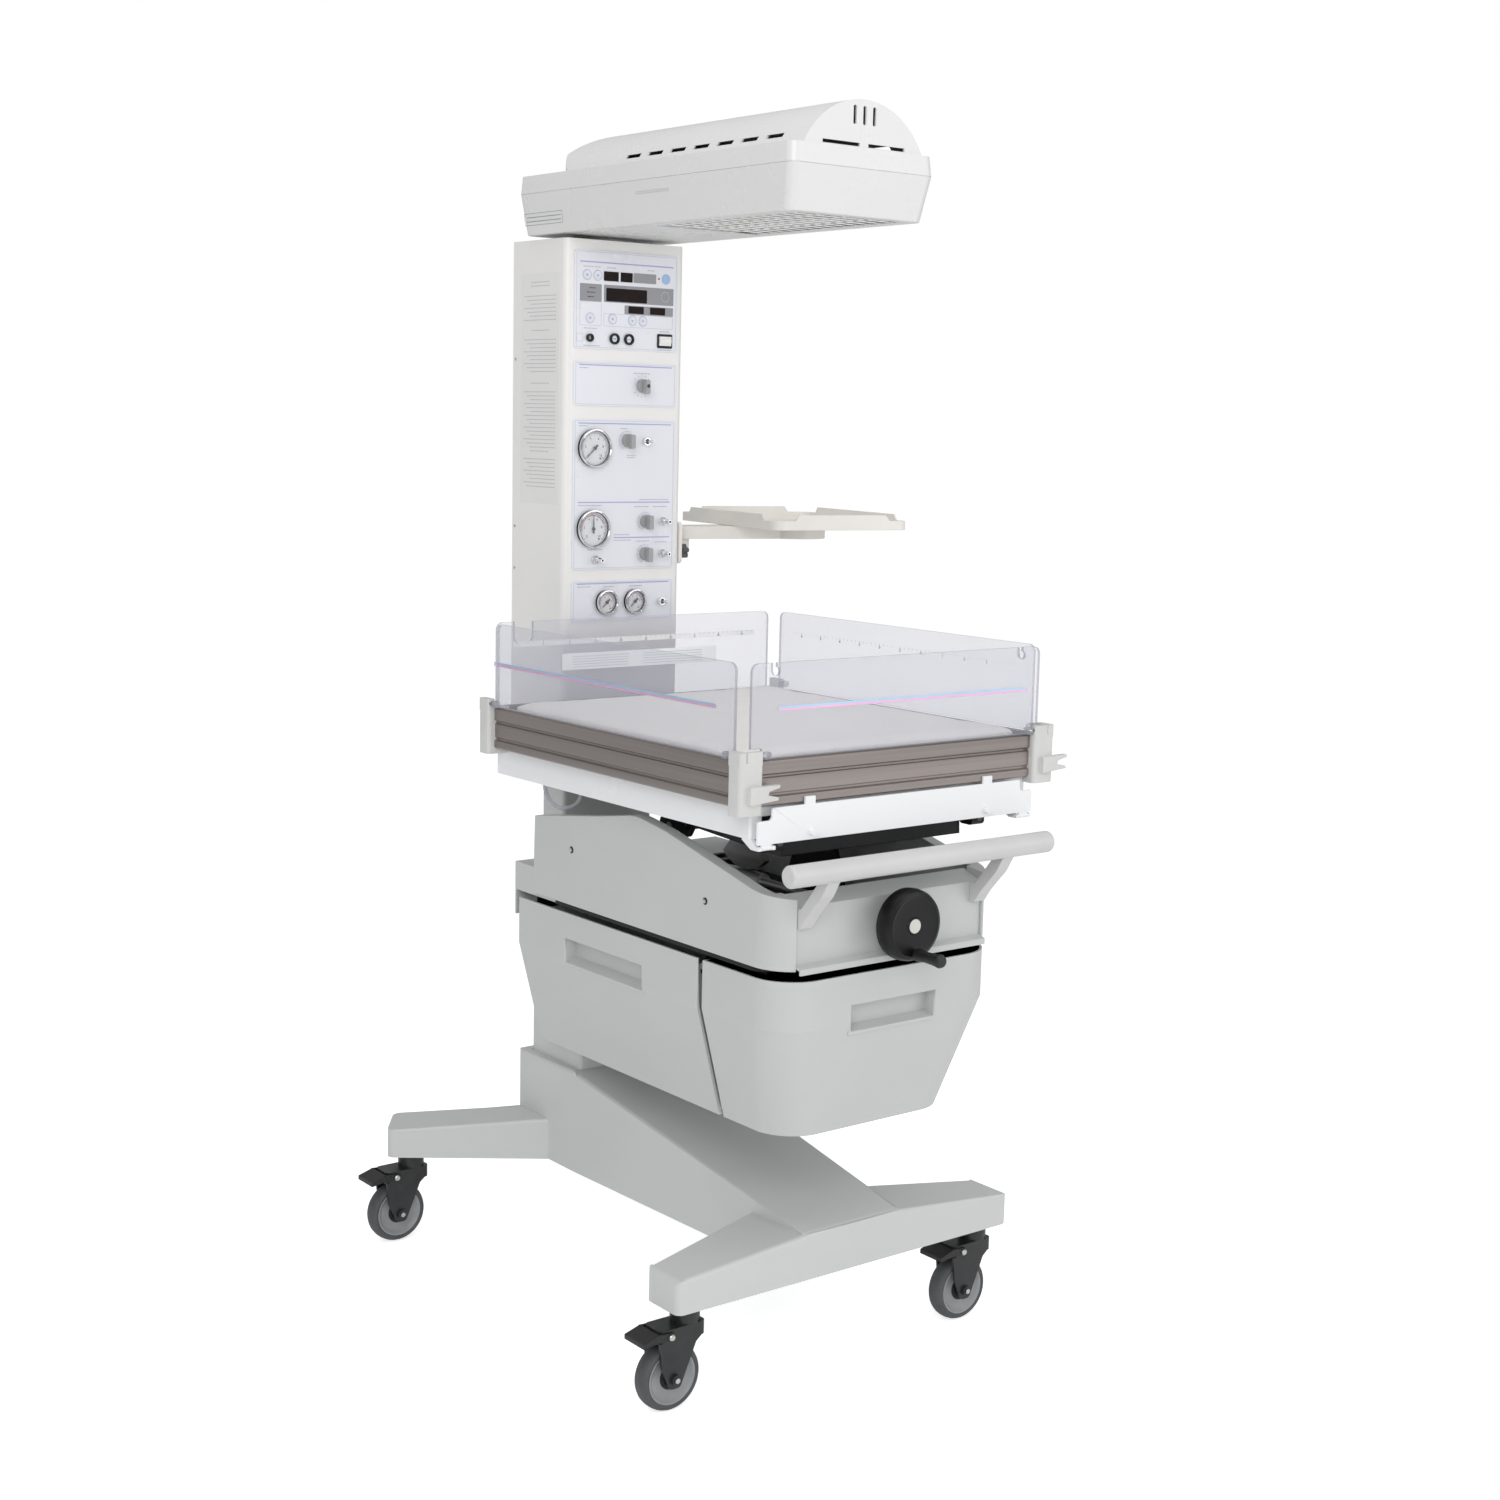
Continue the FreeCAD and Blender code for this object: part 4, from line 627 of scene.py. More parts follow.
# CAD nodes that get rounded edges: node, piece, finish, rounding in metres, its steps, least edge angle,
# which of the node's solids to keep by the low and high corners of their boxes, and for full roundings the
# height they start at.
shells = [
    ("base_frame", "baseCasting", "base", 0.006, 4, 18, None, 0.162),
    ("push_handle", "pushHandle", "bar", 0.0012, 2, 30),
    ("left_drawer", "leftDrawer", "body", 0.0030, 3, 12, None, 0.0),
    ("right_drawer", "rightDrawer", "body", 0.0030, 3, 12, None, 0.0),
    ("front_drawer", "frontDrawer", "body", 0.0030, 3, 12, None, 0.0),
    ("hood_tray", "hoodTray", "hood", 0.0012, 2, 35),
    ("column_shell", "columnShell", "column", 0.0010, 2, 40),
    ("shelf_tray", "shelfTray", "shelf", 0.0009, 2, 35),
    ("shelf_arm", "shelfArm", "shelf", 0.0012, 2, 35),
    ("shelf_clamp", "shelfClamp", "shelf", 0.0010, 2, 35),
    ("clamp_knob", "clampKnob", "darkKnob", 0.0012, 2, 35),
    ("corner_posts", "cornerPosts", "post", 0.0030, 3, 35),
    ("cassette_door", "cassetteDoor", "white", 0.0007, 2, 35),
    ("crank_grip", "crankGrip", "grip", 0.0008, 2, 35),
    ("power_rocker", "powerRocker", "switch", 0.0004, 2, 35),
    ("hood_cover", "hoodCover", "hood", 0.0, 3, 32),
    ("bassinet_rails", "bassinetRails", "rail", 0.0005, 2, 30),
    ("shrouds", "sideShrouds", "body", 0.0022, 3, 25, lambda low, high: high[0] - low[0] < 150),
    ("shrouds", "frontPanel", "body", 0.0015, 2, 25, lambda low, high: high[0] - low[0] >= 150),
    ("bassinet_tray", "bassinetTray", "white", 0.0010, 2, 30),
    ("rear_covers", "rearCovers", "column", 0.0, 3, 30, lambda low, high: low[2] > 800),
    ("rear_covers", "shroudFairing", "body", 0.0008, 2, 30, lambda low, high: low[2] <= 800),
    ("gauge_cases", "gaugeCases", "blackPlastic", 0.0004, 2, 35),
    ("module_plates", "modulePlates", "film", 0.0004, 2, 35),
    ("panel_fittings", "chromeFittings", "chrome", 0.0003, 2, 35, lambda low, high: high[2] < 1500),
    ("panel_fittings", "socketRings", "blackPlastic", 0.0006, 2, 35, lambda low, high: high[2] > 1500),
    ("heater_guard", "guardWires", "chrome", 0.0, 3, 30, lambda low, high: high[2] < 1710),
    ("heater_guard", "heatReflector", "reflector", 0.0, 3, 30, lambda low, high: high[2] >= 1710),
    ("clear_windows", "displayWindows", "display", 0.0, 3, 30, lambda low, high: low[1] > -7.7),
    ("clear_windows", "gaugeGlasses", "glass", 0.0, 3, 30, lambda low, high: low[1] <= -7.7),
    ("handwheel", "handwheel", "blackPlastic", 0.0012, 2, 30),
]
shells += [(f"control_knob_{i}", f"controlKnob{i}", "knob", 0.0007, 2, 35) for i in range(1, 5)]
shells += [(f"caster_fork_{c}", f"casterFork_{c}", "fork", 0.0010, 2, 35) for c in casters]
shells += [(f"brake_pedal_{c}", f"brakePedal_{c}", "pedal", 0.0008, 2, 30) for c in casters]
plainNodes = {"chassis": "black", "drive_shaft": "steel", "tilt_quadrant": "steel",
              "heater_element": "element", "toggle_lever_1": "chrome", "toggle_lever_2": "chrome"}
plainNodes.update({f"gauge_needle_{i}": "blackPrint" for i in range(1, 5)})
for shell in shells:
    softCopy(*shell)
for node, finish in plainNodes.items():
    keepNode(node, finish)
print("CAD shells rounded and finished")


panels = {"left_side_panel": ("leftSide", 0), "right_side_panel": ("rightSide", 0),
          "front_end_panel": ("frontEnd", 1), "rear_end_panel": ("rearEnd", 1)}


# Each sheet keeps its clear faces; its narrow sides get the denser look of a polished edge.
def makeClearPanels():
    for node, (name, across) in panels.items():
        piece = softCopy(node, name, "clear", 0.0, degrees=30)
        piece.data.materials.append(finishes["clearEdge"])
        normals = np.zeros(len(piece.data.polygons) * 3, np.float32)
        piece.data.polygons.foreach_get("normal", normals)
        edge = (np.abs(normals.reshape(-1, 3)[:, across]) < 0.7).astype(np.int32)
        piece.data.polygons.foreach_set("material_index", edge)


makeClearPanels()


def mirrored(profile, side):
    return [(r, side * level) for r, level in profile]


# A profile that is the same on both sides of the wheel's middle, from its near half.
def symmetric(half):
    return half + mirrored(half, -1)[::-1]


wheelLook = {
    "tyre": symmetric([(40.3, -13.2), (44, -15), (46.2, -14.2), (48.6, -11.4), (50.3, -7.4), (51, -3)]),
    "core": symmetric([(13.2, -9.6), (16, -9.0), (31, -8.0), (34.5, -9.2), (37, -12.6), (38.4, -13.6),
                       (40.3, -13.5)]),
    "hub": symmetric([(5.2, -16.4), (11.5, -16.4), (12.8, -15.6), (13.6, -12), (17.5, -11.2), (18.6, -10.2)]),
    "nut": [(0, 0), (7.6, 0), (7.6, 4.0), (6.9, 4.6), (4.6, 4.8), (4.4, 6.6), (3.4, 7.2), (0, 7.2)],
    "rivet": [(0, 0), (5, 0), (5, 5.4), (3.8, 6.6), (0, 6.8)],
    "cheek": 21.2,
    "pedalPin": (-10, 0, 67),
    "pinEnd": 21,
}


# A closed profile carried round an axis, so that the ring has no open side.
def ringShape(axis, centre, profile, steps):
    points, _ = turnedShape(axis, centre, profile, steps)
    return points, gridFaces(len(profile), steps, True, True)


# The same turned profile on both sides of a middle, facing outwards.
def bothSides(middle, away, profile, steps):
    return joined([turnedShape("Y", middle + (0, side * away, 0), mirrored(profile, side), steps)
                   for side in (-1, 1)])


def makeCasterWheels():
    look = wheelLook
    for c in casters:
        low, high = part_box(f"caster_wheel_{c}")
        centre = fromFrame((low + high) / 2)
        wheel, fork = (f"wheel_{c}", "wheel_rubber"), (f"caster_{c}", "machined_steel")
        tyre = newPiece(f"tyre_{c}", ringShape("Y", centre, look["tyre"], 72), "tyre", *wheel)
        newPiece(f"wheelCore_{c}", ringShape("Y", centre, look["core"], 48), "core", *wheel)
        newPiece(f"wheelHub_{c}", ringShape("Y", centre, look["hub"], 48), "blackPlastic", *wheel)
        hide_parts(f"caster_wheel_{c}")
        newPiece(f"axleNuts_{c}", bothSides(centre, look["cheek"], look["nut"], 6), "zinc", *fork, 25)
        pin = centre + look["pedalPin"]
        newPiece(f"pedalRivets_{c}", bothSides(pin, look["pinEnd"], look["rivet"], 24), "zinc", *fork, 25)


makeCasterWheels()
print("casters made")

capLook = {"centre": (0, -744.3, 700), "disc": [(0, 0), (10.5, 0), (10.5, -0.9), (9.9, -1.5), (0, -1.7)]}
turnedPiece("handwheelCap", [capLook["centre"]], capLook["disc"], 40, "hub", "handwheel", "black_plastic")

# Marks on the instrument plates, in millimetres: (x0, x1, z0, z1) for bars and cells, (x, z) for centres.
plateLook = {
    "level": -2.0,
    "raised": 0.25,
    "stripes": [(-92, 92, 1653.6, 1655.6), (-92, 92, 1490.6, 1492.4), (-92, 92, 1397.1, 1398.9),
                (-92, 92, 1269.1, 1270.9), (-20, 92, 1211.1, 1212.9), (-92, 92, 1136.1, 1137.9)],
    "bands": [(-92, -50, 1592.5, 1620), (-45.5, 92.8, 1592.5, 1620), (12.3, 57.3, 1626, 1641.5),
              (-4.7, 92.3, 1575, 1589)],
    "cells": [(-92, -50, 1554, 1592), (-45.5, 92, 1554, 1574.5), (-98, -85, 1528, 1541),
              (-98.5, 98.5, 1519.5, 1670.5), (-98.5, 98.5, 1428.5, 1494.5), (-98.5, 98.5, 1162.5, 1402.5),
              (-98.5, 98.5, 1076.5, 1139.5)],
    "cellLine": 0.5,
    "keys": [(-78.4, 1633.9), (-57.8, 1633.9), (-71.8, 1566), (-28, 1566), (11.2, 1565.3), (32, 1565)],
    "keyRadius": 7.6,
    "blueKeys": [(77.3, 1635)],
    "faintKeys": [(76, 1606.4)],
    "lamp": (62.7, 1635),
    "lampRadius": 1.6,
    "divider": (-17.6, -14.2, 1625.8, 1641.2),
    "legends": [(-86, -66, 1646.5), (-64, -52, 1646.5), (-40, -20, 1646.5), (40, 54, 1646.5),
                (-84, -58, 1549), (-84, -52, 1521.5), (66, 86, 1549.5), (66, 88, 1519.3), (-91, -74, 1486),
                (15, 48, 1480), (-91, -74, 1393), (-10, 4, 1390), (4, 22, 1346), (4, 20, 1342.5),
                (30, 90, 1273.5), (-91, -45, 1264.5), (20, 50, 1262), (58, 86, 1262), (-20, 12, 1216),
                (-20, 14, 1207), (24, 52, 1205), (62, 90, 1203), (-72, -42, 1192), (-91, -64, 1131.5),
                (-40, -18, 1131), (12, 38, 1131)],
    "cellWords": [(-80, -62, 1613), (-79, -63, 1606), (-77, -65, 1599)],
    "legendLine": 1.3,
    "legendGap": 0.9,
    "cellDashes": 8,
}


# Short grey dashes of uneven length, which stand where a real panel has its small print.
def dashes(u0, u1, v, height, seed):
    draw = np.random.default_rng(seed)
    bars, u = [], u0
    while u < u1 - 1.5:
        run = min(float(draw.uniform(3.0, 8.0)), u1 - u)
        bars.append(bar(u, u + run, v, v + height))
        u += run + plateLook["legendGap"]
    return bars


# A thin frame: the outer outline of a rounded box and the same box taken in by the line's width.
def thinFrame(x0, x1, z0, z1, line, radius=2.0):
    return (roundedBar(x0, x1, z0, z1, radius),
            roundedBar(x0 + line, x1 - line, z0 + line, z1 - line, max(0.3, radius - line)))


def makePlateMarks():
    look, level, size = plateLook, plateLook["level"], plateLook["keyRadius"]
    place = ("frame", "module_film")

    def flats(name, outlines, finish, depth=look["raised"], at=level):
        flatPiece(name, "front", at, outlines, finish, *place, depth)

    flats("plateStripes", [bar(*s) for s in look["stripes"]], "stripePrint")
    flats("displayBands", [roundedBar(*b, 1.2) for b in look["bands"]], "greyPrint", 0.35)
    flats("cellLines", [thinFrame(*c, look["cellLine"]) for c in look["cells"]], "borderPrint", 0.2)
    profile = [(0, 0), (size, 0), (size, -0.5), (size - 0.6, -0.9), (size - 1.6, -0.6), (0, -0.5)]
    turnedPiece("membraneKeys", [(x, level, z) for x, z in look["keys"]], profile, 40, "key", *place)
    flats("keyRings", [ring(x, z, size + 0.9, size + 0.1) for x, z in look["keys"] + look["blueKeys"]],
          "linePrint", 0.4)
    flats("faintKeyRings", [ring(x, z, size + 0.6, size - 0.2) for x, z in look["faintKeys"]], "borderPrint",
          0.6)
    flats("blueKey", [circle(x, z, size) for x, z in look["blueKeys"]], "blueKey", 0.6)
    flats("windowDivider", [bar(*look["divider"])], "key", 0.3, -3.0)
    flats("alarmLamp", [circle(*look["lamp"], look["lampRadius"])], "redPrint", 0.9)
    signs = [circle(x, z, 2.0, 20) for x, z in look["keys"][:4]]
    for (x, z), tip in zip(look["keys"][-2:], (-3.0, 3.0)):               # one arrow down, one up
        signs.append(np.array([(x - 2.4, z - tip * 0.3), (x, z + tip), (x + 2.4, z - tip * 0.3)]))
    flats("keySigns", signs, "linePrint", 0.95)
    words = [word for n, (x0, x1, z) in enumerate(look["legends"] + look["cellWords"])
             for word in dashes(x0, x1, z, look["legendLine"], n)]
    flats("smallPrint", words[:-look["cellDashes"]], "borderPrint", 0.3)
    flats("cellPrint", words[-look["cellDashes"]:], "blackPrint", 0.5)


makePlateMarks()
print("instrument plates printed")

# Gauges: face and case radius, the scale's parts and how far out it reaches, the numbers' place and size and
# the step between them, then the face's level, the first angle, the whole turn and the red arcs.
gaugeLook = {
    "large": {"centres": [(-62.5, 1358.0), (-63.5, 1227.0)], "face": 27.6, "case": 30.5, "major": 11,
              "minor": 5, "tickOut": 25.0, "numbers": 17.2, "size": 4.4, "step": 2},
    "small": {"centres": [(-35.0, 1106.0), (21.6, 1106.0)], "face": 17.1, "case": 20.0, "major": 6,
              "minor": 5, "tickOut": 15.2, "numbers": 9.6, "size": 3.2, "step": 1},
    "faceBack": -4.95,
    "faceDepth": 0.35,
    "hubHole": 1.4,
    "start": 225.0,
    "sweep": -270.0,
    "bezel": [(27.9, -9.9), (27.9, -11.2), (29.0, -11.9), (30.3, -11.6), (31.0, -10.6), (31.0, -8.0),
              (30.6, -8.0), (30.6, -9.9)],
    "redArc": (21.4, 22.6, 20.0, 190.0, 48),
    "smallRedArc": (12.6, 13.3, 0, 200, 36),
}


# Flat numerals, made a mesh and then laid on the plane: across is the plane's own right, up is +Z.
def numerals(entries, plane, level, size, depth=0.15):
    along, up = (np.array(a, float) for a in planes[plane])
    normal = np.cross(along, up)
    index = int(np.argmax(np.abs(normal)))
    shapes = []
    for words, u, v in entries:
        curve = bpy.data.curves.new("numeral", "FONT")
        curve.body = words
        curve.size = size * 1.35
        curve.align_x, curve.align_y = "CENTER", "CENTER"
        curve.resolution_u = 3
        curve.extrude = depth / 2
        holder = bpy.data.objects.new("numeral", curve)
        mesh = bpy.data.meshes.new_from_object(holder)
        local = np.zeros(len(mesh.vertices) * 3)
        mesh.vertices.foreach_get("co", local)
        local = local.reshape(-1, 3)
        points = local[:, :1] * along + local[:, 1:2] * up + (local[:, 2:3] + depth / 2) * normal
        points += u * np.abs(along) + v * up
        points[:, index] += level
        shapes.append((points, [list(face.vertices) for face in mesh.polygons]))
        bpy.data.objects.remove(holder)
        bpy.data.curves.remove(curve)
        bpy.data.meshes.remove(mesh)
    return joined(shapes)


def makeGaugeFaces():
    shared = gaugeLook
    back, deep = shared["faceBack"], shared["faceDepth"]
    front = back - deep
    place = ("frame", "gauge_black")
    faces, marks, bezels = [], [], []
    for kind in ("large", "small"):
        look, numbers = shared[kind], []
        face, out = look["face"], look["tickOut"]
        share = face / shared["large"]["face"]
        parts = (look["major"] - 1) * look["minor"]
        for x, z in look["centres"]:
            faces.append(ring(x, z, face, shared["hubHole"], 64))
            for n in range(parts + 1):
                angle = shared["start"] + shared["sweep"] * n / parts
                length, width = (4.0, 0.55) if n % look["minor"] == 0 else (2.2, 0.28)
                marks.append((tick(x, z, out - length * share, out, angle, width), 0.15))
            marks.append((arcBand(x, z, out, out + 0.35, -45, 225, 60), 0.12))
            marks.append((circle(x + face * 0.42, z - face * 0.6, face * 0.06, 20), 0.2))
            for n in range(0, look["major"], look["step"]):
                angle = math.radians(shared["start"] + shared["sweep"] * n / (look["major"] - 1))
                numbers.append((str(n), x + look["numbers"] * math.cos(angle),
                                z + look["numbers"] * math.sin(angle)))
            grow = look["case"] - shared["large"]["case"]
            bezels.append(ringShape("Y", (x, 0, z), [(r + grow, y) for r, y in shared["bezel"]], 64))
        newPiece(f"dialNumbers{int(look['size'])}", numerals(numbers, "front", front, look["size"]),
                 "blackPrint", *place, 20)
    flatPiece("dialFaces", "front", back, faces, "dial", *place, deep)
    newPiece("dialTicks", joined([flatShape("front", front, m, high) for m, high in marks]), "blackPrint",
             *place)
    newPiece("gaugeBezels", joined(bezels), "chrome", *place)
    arcs = [arcBand(*shared["large"]["centres"][1], *shared["redArc"])]
    arcs += [arcBand(*centre, *shared["smallRedArc"]) for centre in shared["small"]["centres"]]
    flatPiece("dialRedArcs", "front", front, arcs, "redPrint", *place, 0.17)


makeGaugeFaces()

# Small things on the plates: knob scales and marks, the discs inside the two air sockets and the arrows on
# them.
fittingLook = {
    "knobScale": {"centre": (31.5, 1460.4), "radius": 17.5, "dot": 1.0,
                  "angles": (40, 65, 90, 115, 140, 220, 245, 270, 295)},
    "knobArcs": [((3.5, 1371.0), 15.0, 60, 240), ((42.5, 1238.5), 14.5, 60, 250),
                 ((42.0, 1184.8), 14.5, 60, 250)],
    "knobDot": ((31.5, -22.2, 1460.4), 3.0),
    "sockets": [(-25.0, 1534.5), (3.5, 1534.5)],
    "socketDisc": 5.6,
    "arrow": [(-3.6, -0.9), (0, -0.9), (0, -2.8), (3.6, 0), (0, 2.8), (0, 0.9), (-3.6, 0.9)],
}


def makeFittingMarks():
    look = fittingLook
    scale = look["knobScale"]
    u, v = scale["centre"]
    turn = np.radians(scale["angles"])
    dots = [circle(x, z, scale["dot"], 16) for x, z in onCircle(u, v, scale["radius"], turn)]
    for (x, z), radius, first, last in look["knobArcs"]:
        dots.append(arcBand(x, z, radius, radius + 0.5, first, last, 30))
        dots += [tick(x, z, radius, radius + 1.8, float(a), 0.5) for a in np.linspace(first, last, 7)]
    flatPiece("knobScales", "front", plateLook["level"], dots, "linePrint", "frame", "module_film")
    place, radius = look["knobDot"]
    turnedPiece("knobDot", [place], [(0, 0.4), (radius, 0.4), (radius, -0.3), (0, -0.4)], 28, "blackPrint",
                "control_knob_1", "knob_grey")
    r = look["socketDisc"]
    profile = [(0, 0), (r, 0), (r, -1.0), (r - 0.8, -1.8), (0, -2.0)]
    turnedPiece("socketDiscs", [(x, -2.4, z) for x, z in look["sockets"]], profile, 36, "whitePrint", "frame",
                "black_plastic")
    arrows = [np.array(look["arrow"]) + centre for centre in look["sockets"]]
    flatPiece("socketArrows", "front", -4.4, arrows, "blueKey", "frame", "black_plastic", 0.25)


makeFittingMarks()
print("gauges and fittings marked")

surfaces = {}


def surfaceOf(node):
    if node not in surfaces:
        mesh = nodes[node].data
        surfaces[node] = BVHTree.FromPolygons([v.co for v in mesh.vertices],
                                              [list(face.vertices) for face in mesh.polygons])
    return surfaces[node]


# The first face of a CAD node met from outside along an axis, as its level in millimetres.
def faceAt(node, axis, sign, place):
    start = np.array(place, float)
    start[axis] = sign * 3000
    away = np.zeros(3)
    away[axis] = -sign
    point = surfaceOf(node).ray_cast(Vector(toFrame(start)), Vector(away))[0]
    return fromFrame(point)[axis]


# Bands on the clear panels and rulers on two of them.
panelLook = {
    "bandZ": 1022.0,
    "band": 3.2,
    "left": (-641, -62),
    "front": (-226, 248),
    "rulerZ": 1049.0,
    "rulerRear": (-236, 236),
    "rulerSide": (-632, -104),
    "label": (-150, 160, 1003, 1030),
    "step": 10.0,
    "thick": 5.0,
    "print": 0.15,
}


def makePanelMarks():
    look, slot = panelLook, "clear_acrylic"
    z, h, low, thin = look["bandZ"], look["band"], look["rulerZ"], look["print"]
    leftX = faceAt("left_side_panel", 0, -1, (0, -300, z))
    frontY = faceAt("front_end_panel", 1, -1, (0, 0, z))
    rightX = faceAt("right_side_panel", 0, 1, (0, -300, z))
    rearY = faceAt("rear_end_panel", 1, -1, (0, 0, low))
    for name, base in (("blue", z), ("pink", z - h)):
        flatPiece(f"{name}BandLeft", "left", leftX, [roundedBar(*look["left"], base, base + h, 1.2)],
                  f"{name}Print", "left_side_panel", slot, -0.2)
        flatPiece(f"{name}BandFront", "front", frontY, [roundedBar(*look["front"], base, base + h, 1.2)],
                  f"{name}Print", "front_end_panel", slot)
    u0, u1 = look["rulerRear"]
    flatPiece("rulerStripRear", "front", rearY, [roundedBar(u0 - 6, u1 + 6, low - 4, low + 4.5, 2)],
              "rulerVeil", "bassinet", slot, thin)
    rulers = {"Rear": ("front", rearY, look["rulerRear"], "bassinet", thin),
              "Right": ("left", rightX - look["thick"], look["rulerSide"], "right_side_panel", -thin)}
    for side, (plane, level, (u0, u1), body, depth) in rulers.items():
        steps = list(enumerate(np.arange(u0, u1 + 0.1, look["step"])))
        marks = [bar(u - 0.35, u + 0.35, low + (0.6 if n % 5 == 0 else 2.2), low + 4) for n, u in steps]
        flatPiece(f"rulerTicks{side}", plane, level - thin, marks, "blackPrint", body, slot, depth)
        numbers = [(str(n), u, low - 1.6) for n, u in steps if n and n % 5 == 0]
        newPiece(f"rulerNumbers{side}", numerals(numbers, plane, level - thin, 3.6), "blackPrint", body, slot,
                 20)
    x0, x1, z0, z1 = look["label"]
    flatPiece("rearPanelLabel", "front", rearY, [roundedBar(x0, x1, z0, z1, 1.5)], "whitePrint", "bassinet",
              slot)
    words = []
    for n, row in enumerate(np.arange(z0 + 4, z1 - 3, 4.2)):
        words += dashes(x0 + 20, x0 + 130, row, 1.0, 40 + n) + dashes(x0 + 160, x1 - 30, row, 1.0, 60 + n)
    flatPiece("rearPanelPrint", "front", rearY - 0.2, words, "borderPrint", "bassinet", slot, 0.1)


makePanelMarks()
print("clear panels marked")

# Black frame bolted under the tray: side channels, a front rail and two hinge blocks with bolts.
underFrameLook = {"half": 171.0, "sheet": 3.0, "front": -648.0, "rear": -130.0, "top": 842.6, "deep": 40.0,
                  "shallow": 26.0, "blockX": (178.0, 204.0), "blockY": (-668.0, -640.0), "blockDrop": 26.0}


def makeUnderFrame():
    look, place = underFrameLook, ("bassinet", "chassis_black")
    half, sheet, top, front, rear = (look[k] for k in ("half", "sheet", "top", "front", "rear"))
    deep, shallow = top - look["deep"], top - look["shallow"]
    side = np.array([(front, top), (front, deep), (front + 40, deep), (-350.0, shallow), (rear, shallow),
                     (rear, top)])
    shapes = [flatShape("left", level, side, sheet) for level in (-half + sheet, half)]
    shapes.append(flatShape("front", front + sheet, bar(-half, half, deep, top), sheet))
    (x0, x1), (y0, y1) = look["blockX"], look["blockY"]
    block = roundedBar(y0, y1, top - look["blockDrop"], top, 6)
    shapes += [flatShape("left", high, block, x1 - x0) for high in (-x0, x1)]
    newPiece("underFrame", joined(shapes), "black", *place, bevel=0.0008)
    turnedPiece("underFrameBolts", [(sign * (x0 + x1) / 2, y0, top - 14) for sign in (-1, 1)],
                [(0, 0), (5.5, 0), (5.5, -3), (4.6, -3.8), (0, -4)], 24, "darkKnob", *place, 25)


makeUnderFrame()

# Screws on the shrouds and column, the shroud screws on black discs that are painted shade of their recesses,
# the blank side label, the strips on the hood.
trimLook = {
    "shroudScrews": [(-174, 736), (-525, 720)],
    "columnScrews": [(150, 1225), (150, 1155), (150, 1500), (150, 900)],
    "sideLabel": (18, 134, 1265, 1637),
    "labelRows": [(1622, 1), (1616, 1), (1600, 7), (1545, 1), (1530, 9), (1460, 1), (1446, 15), (1350, 1),
                  (1337, 8)],
    "hoodStrip": (-4, 108, 1712, 1731),
    "hoodFaint": (-300, -205, 1739, 1747),
    "recessShade": [(0, 0), (5.4, 0), (5.4, 0.5), (4.4, 0.9), (0, 0.9)],
    "head": [(0, 0), (3.2, 0), (3.2, 0.6), (2.2, 1.2), (0, 1.3)],
    "columnHead": [(0, 0), (2.6, 0), (2.4, 0.8), (0, 1.2)],
    "row": 6.4,
}


def makeTrim():
    look = trimLook
    recessShades, heads = [], []
    for side in (-1, 1):
        for y, z in look["shroudScrews"]:
            x = faceAt("shrouds", 0, side, (0, y, z))
            # A black disc under each shroud screw head, the head a little off its centre, is painted shade of
            # the screw's recess.
            recessShades.append(turnedShape("X", (x, y, z), mirrored(look["recessShade"], side), 32))
            heads.append(turnedShape("X", (x + side * 0.9, y + 0.8, z), mirrored(look["head"], side), 28))
        for y, z in look["columnScrews"]:
            x = faceAt("column_shell", 0, side, (0, y, z))
            heads.append(turnedShape("X", (x, y, z), mirrored(look["columnHead"], side), 24))
    # The discs under the shroud screws are painted recess shade, in the black print ink.
    newPiece("screwRecessShades", joined(recessShades), "blackPrint", "frame", "black_plastic")
    newPiece("screwHeads", joined(heads), "zinc", "frame", "machined_steel")
    y0, y1, z0, z1 = look["sideLabel"]
    x = faceAt("column_shell", 0, -1, (0, (y0 + y1) / 2, (z0 + z1) / 2))
    flatPiece("sideLabel", "left", x, [roundedBar(y0, y1, z0, z1, 4)], "paper", "frame", "column_paint")
    rows = []
    for n, (z, count) in enumerate(look["labelRows"]):
        inset = 30 if count == 1 else 10
        for k in range(count):
            rows += dashes(y0 + inset, y1 - inset - (k % 3) * 9, z - k * look["row"], 1.5, 100 + 20 * n + k)
    flatPiece("sideLabelLines", "left", x - 0.2, rows, "paperLine", "frame", "column_paint", 0.12)
    makeHoodStrip("hoodLabel", look["hoodStrip"], True)
    makeHoodStrip("hoodFaintLabel", look["hoodFaint"], False)


# The hood's side leans, so a strip is laid flat and then pushed out with height by the side's own slope.
def makeHoodStrip(name, place, framed):
    y0, y1, z0, z1 = place
    low, high = (faceAt("hood_tray", 0, -1, (0, (y0 + y1) / 2, z)) for z in (z0, z1))
    outlines = [word for n in (0, 1)
                for word in dashes(y0 + 5, y1 - 5, z0 + (z1 - z0) * (0.28 + 0.34 * n), 1.4, 300 + n)]
    if framed:
        outlines.append(thinFrame(y0, y1, z0, z1, 0.8, 0.8))
    points, faces = joined([flatShape("left", 0, outline, 0.12) for outline in outlines])
    points[:, 0] += low + (high - low) * (points[:, 2] - z0) / (z1 - z0) - 0.02
    newPiece(name, (points, faces), "greyPrint" if framed else "paperLine", "hood", "hood_plastic")


makeTrim()
print("screws and labels placed")

# The pad starts a little smaller than the CAD solid, because the cloth swells.
mattressLook = {"shrink": 2.0, "voxel": 0.006, "pressure": 4.0, "frames": 20, "cap": 0.006, "round": 0.008}


def pointsOf(mesh):
    points = np.zeros(len(mesh.vertices) * 3)
    mesh.vertices.foreach_get("co", points)
    return points.reshape(-1, 3)


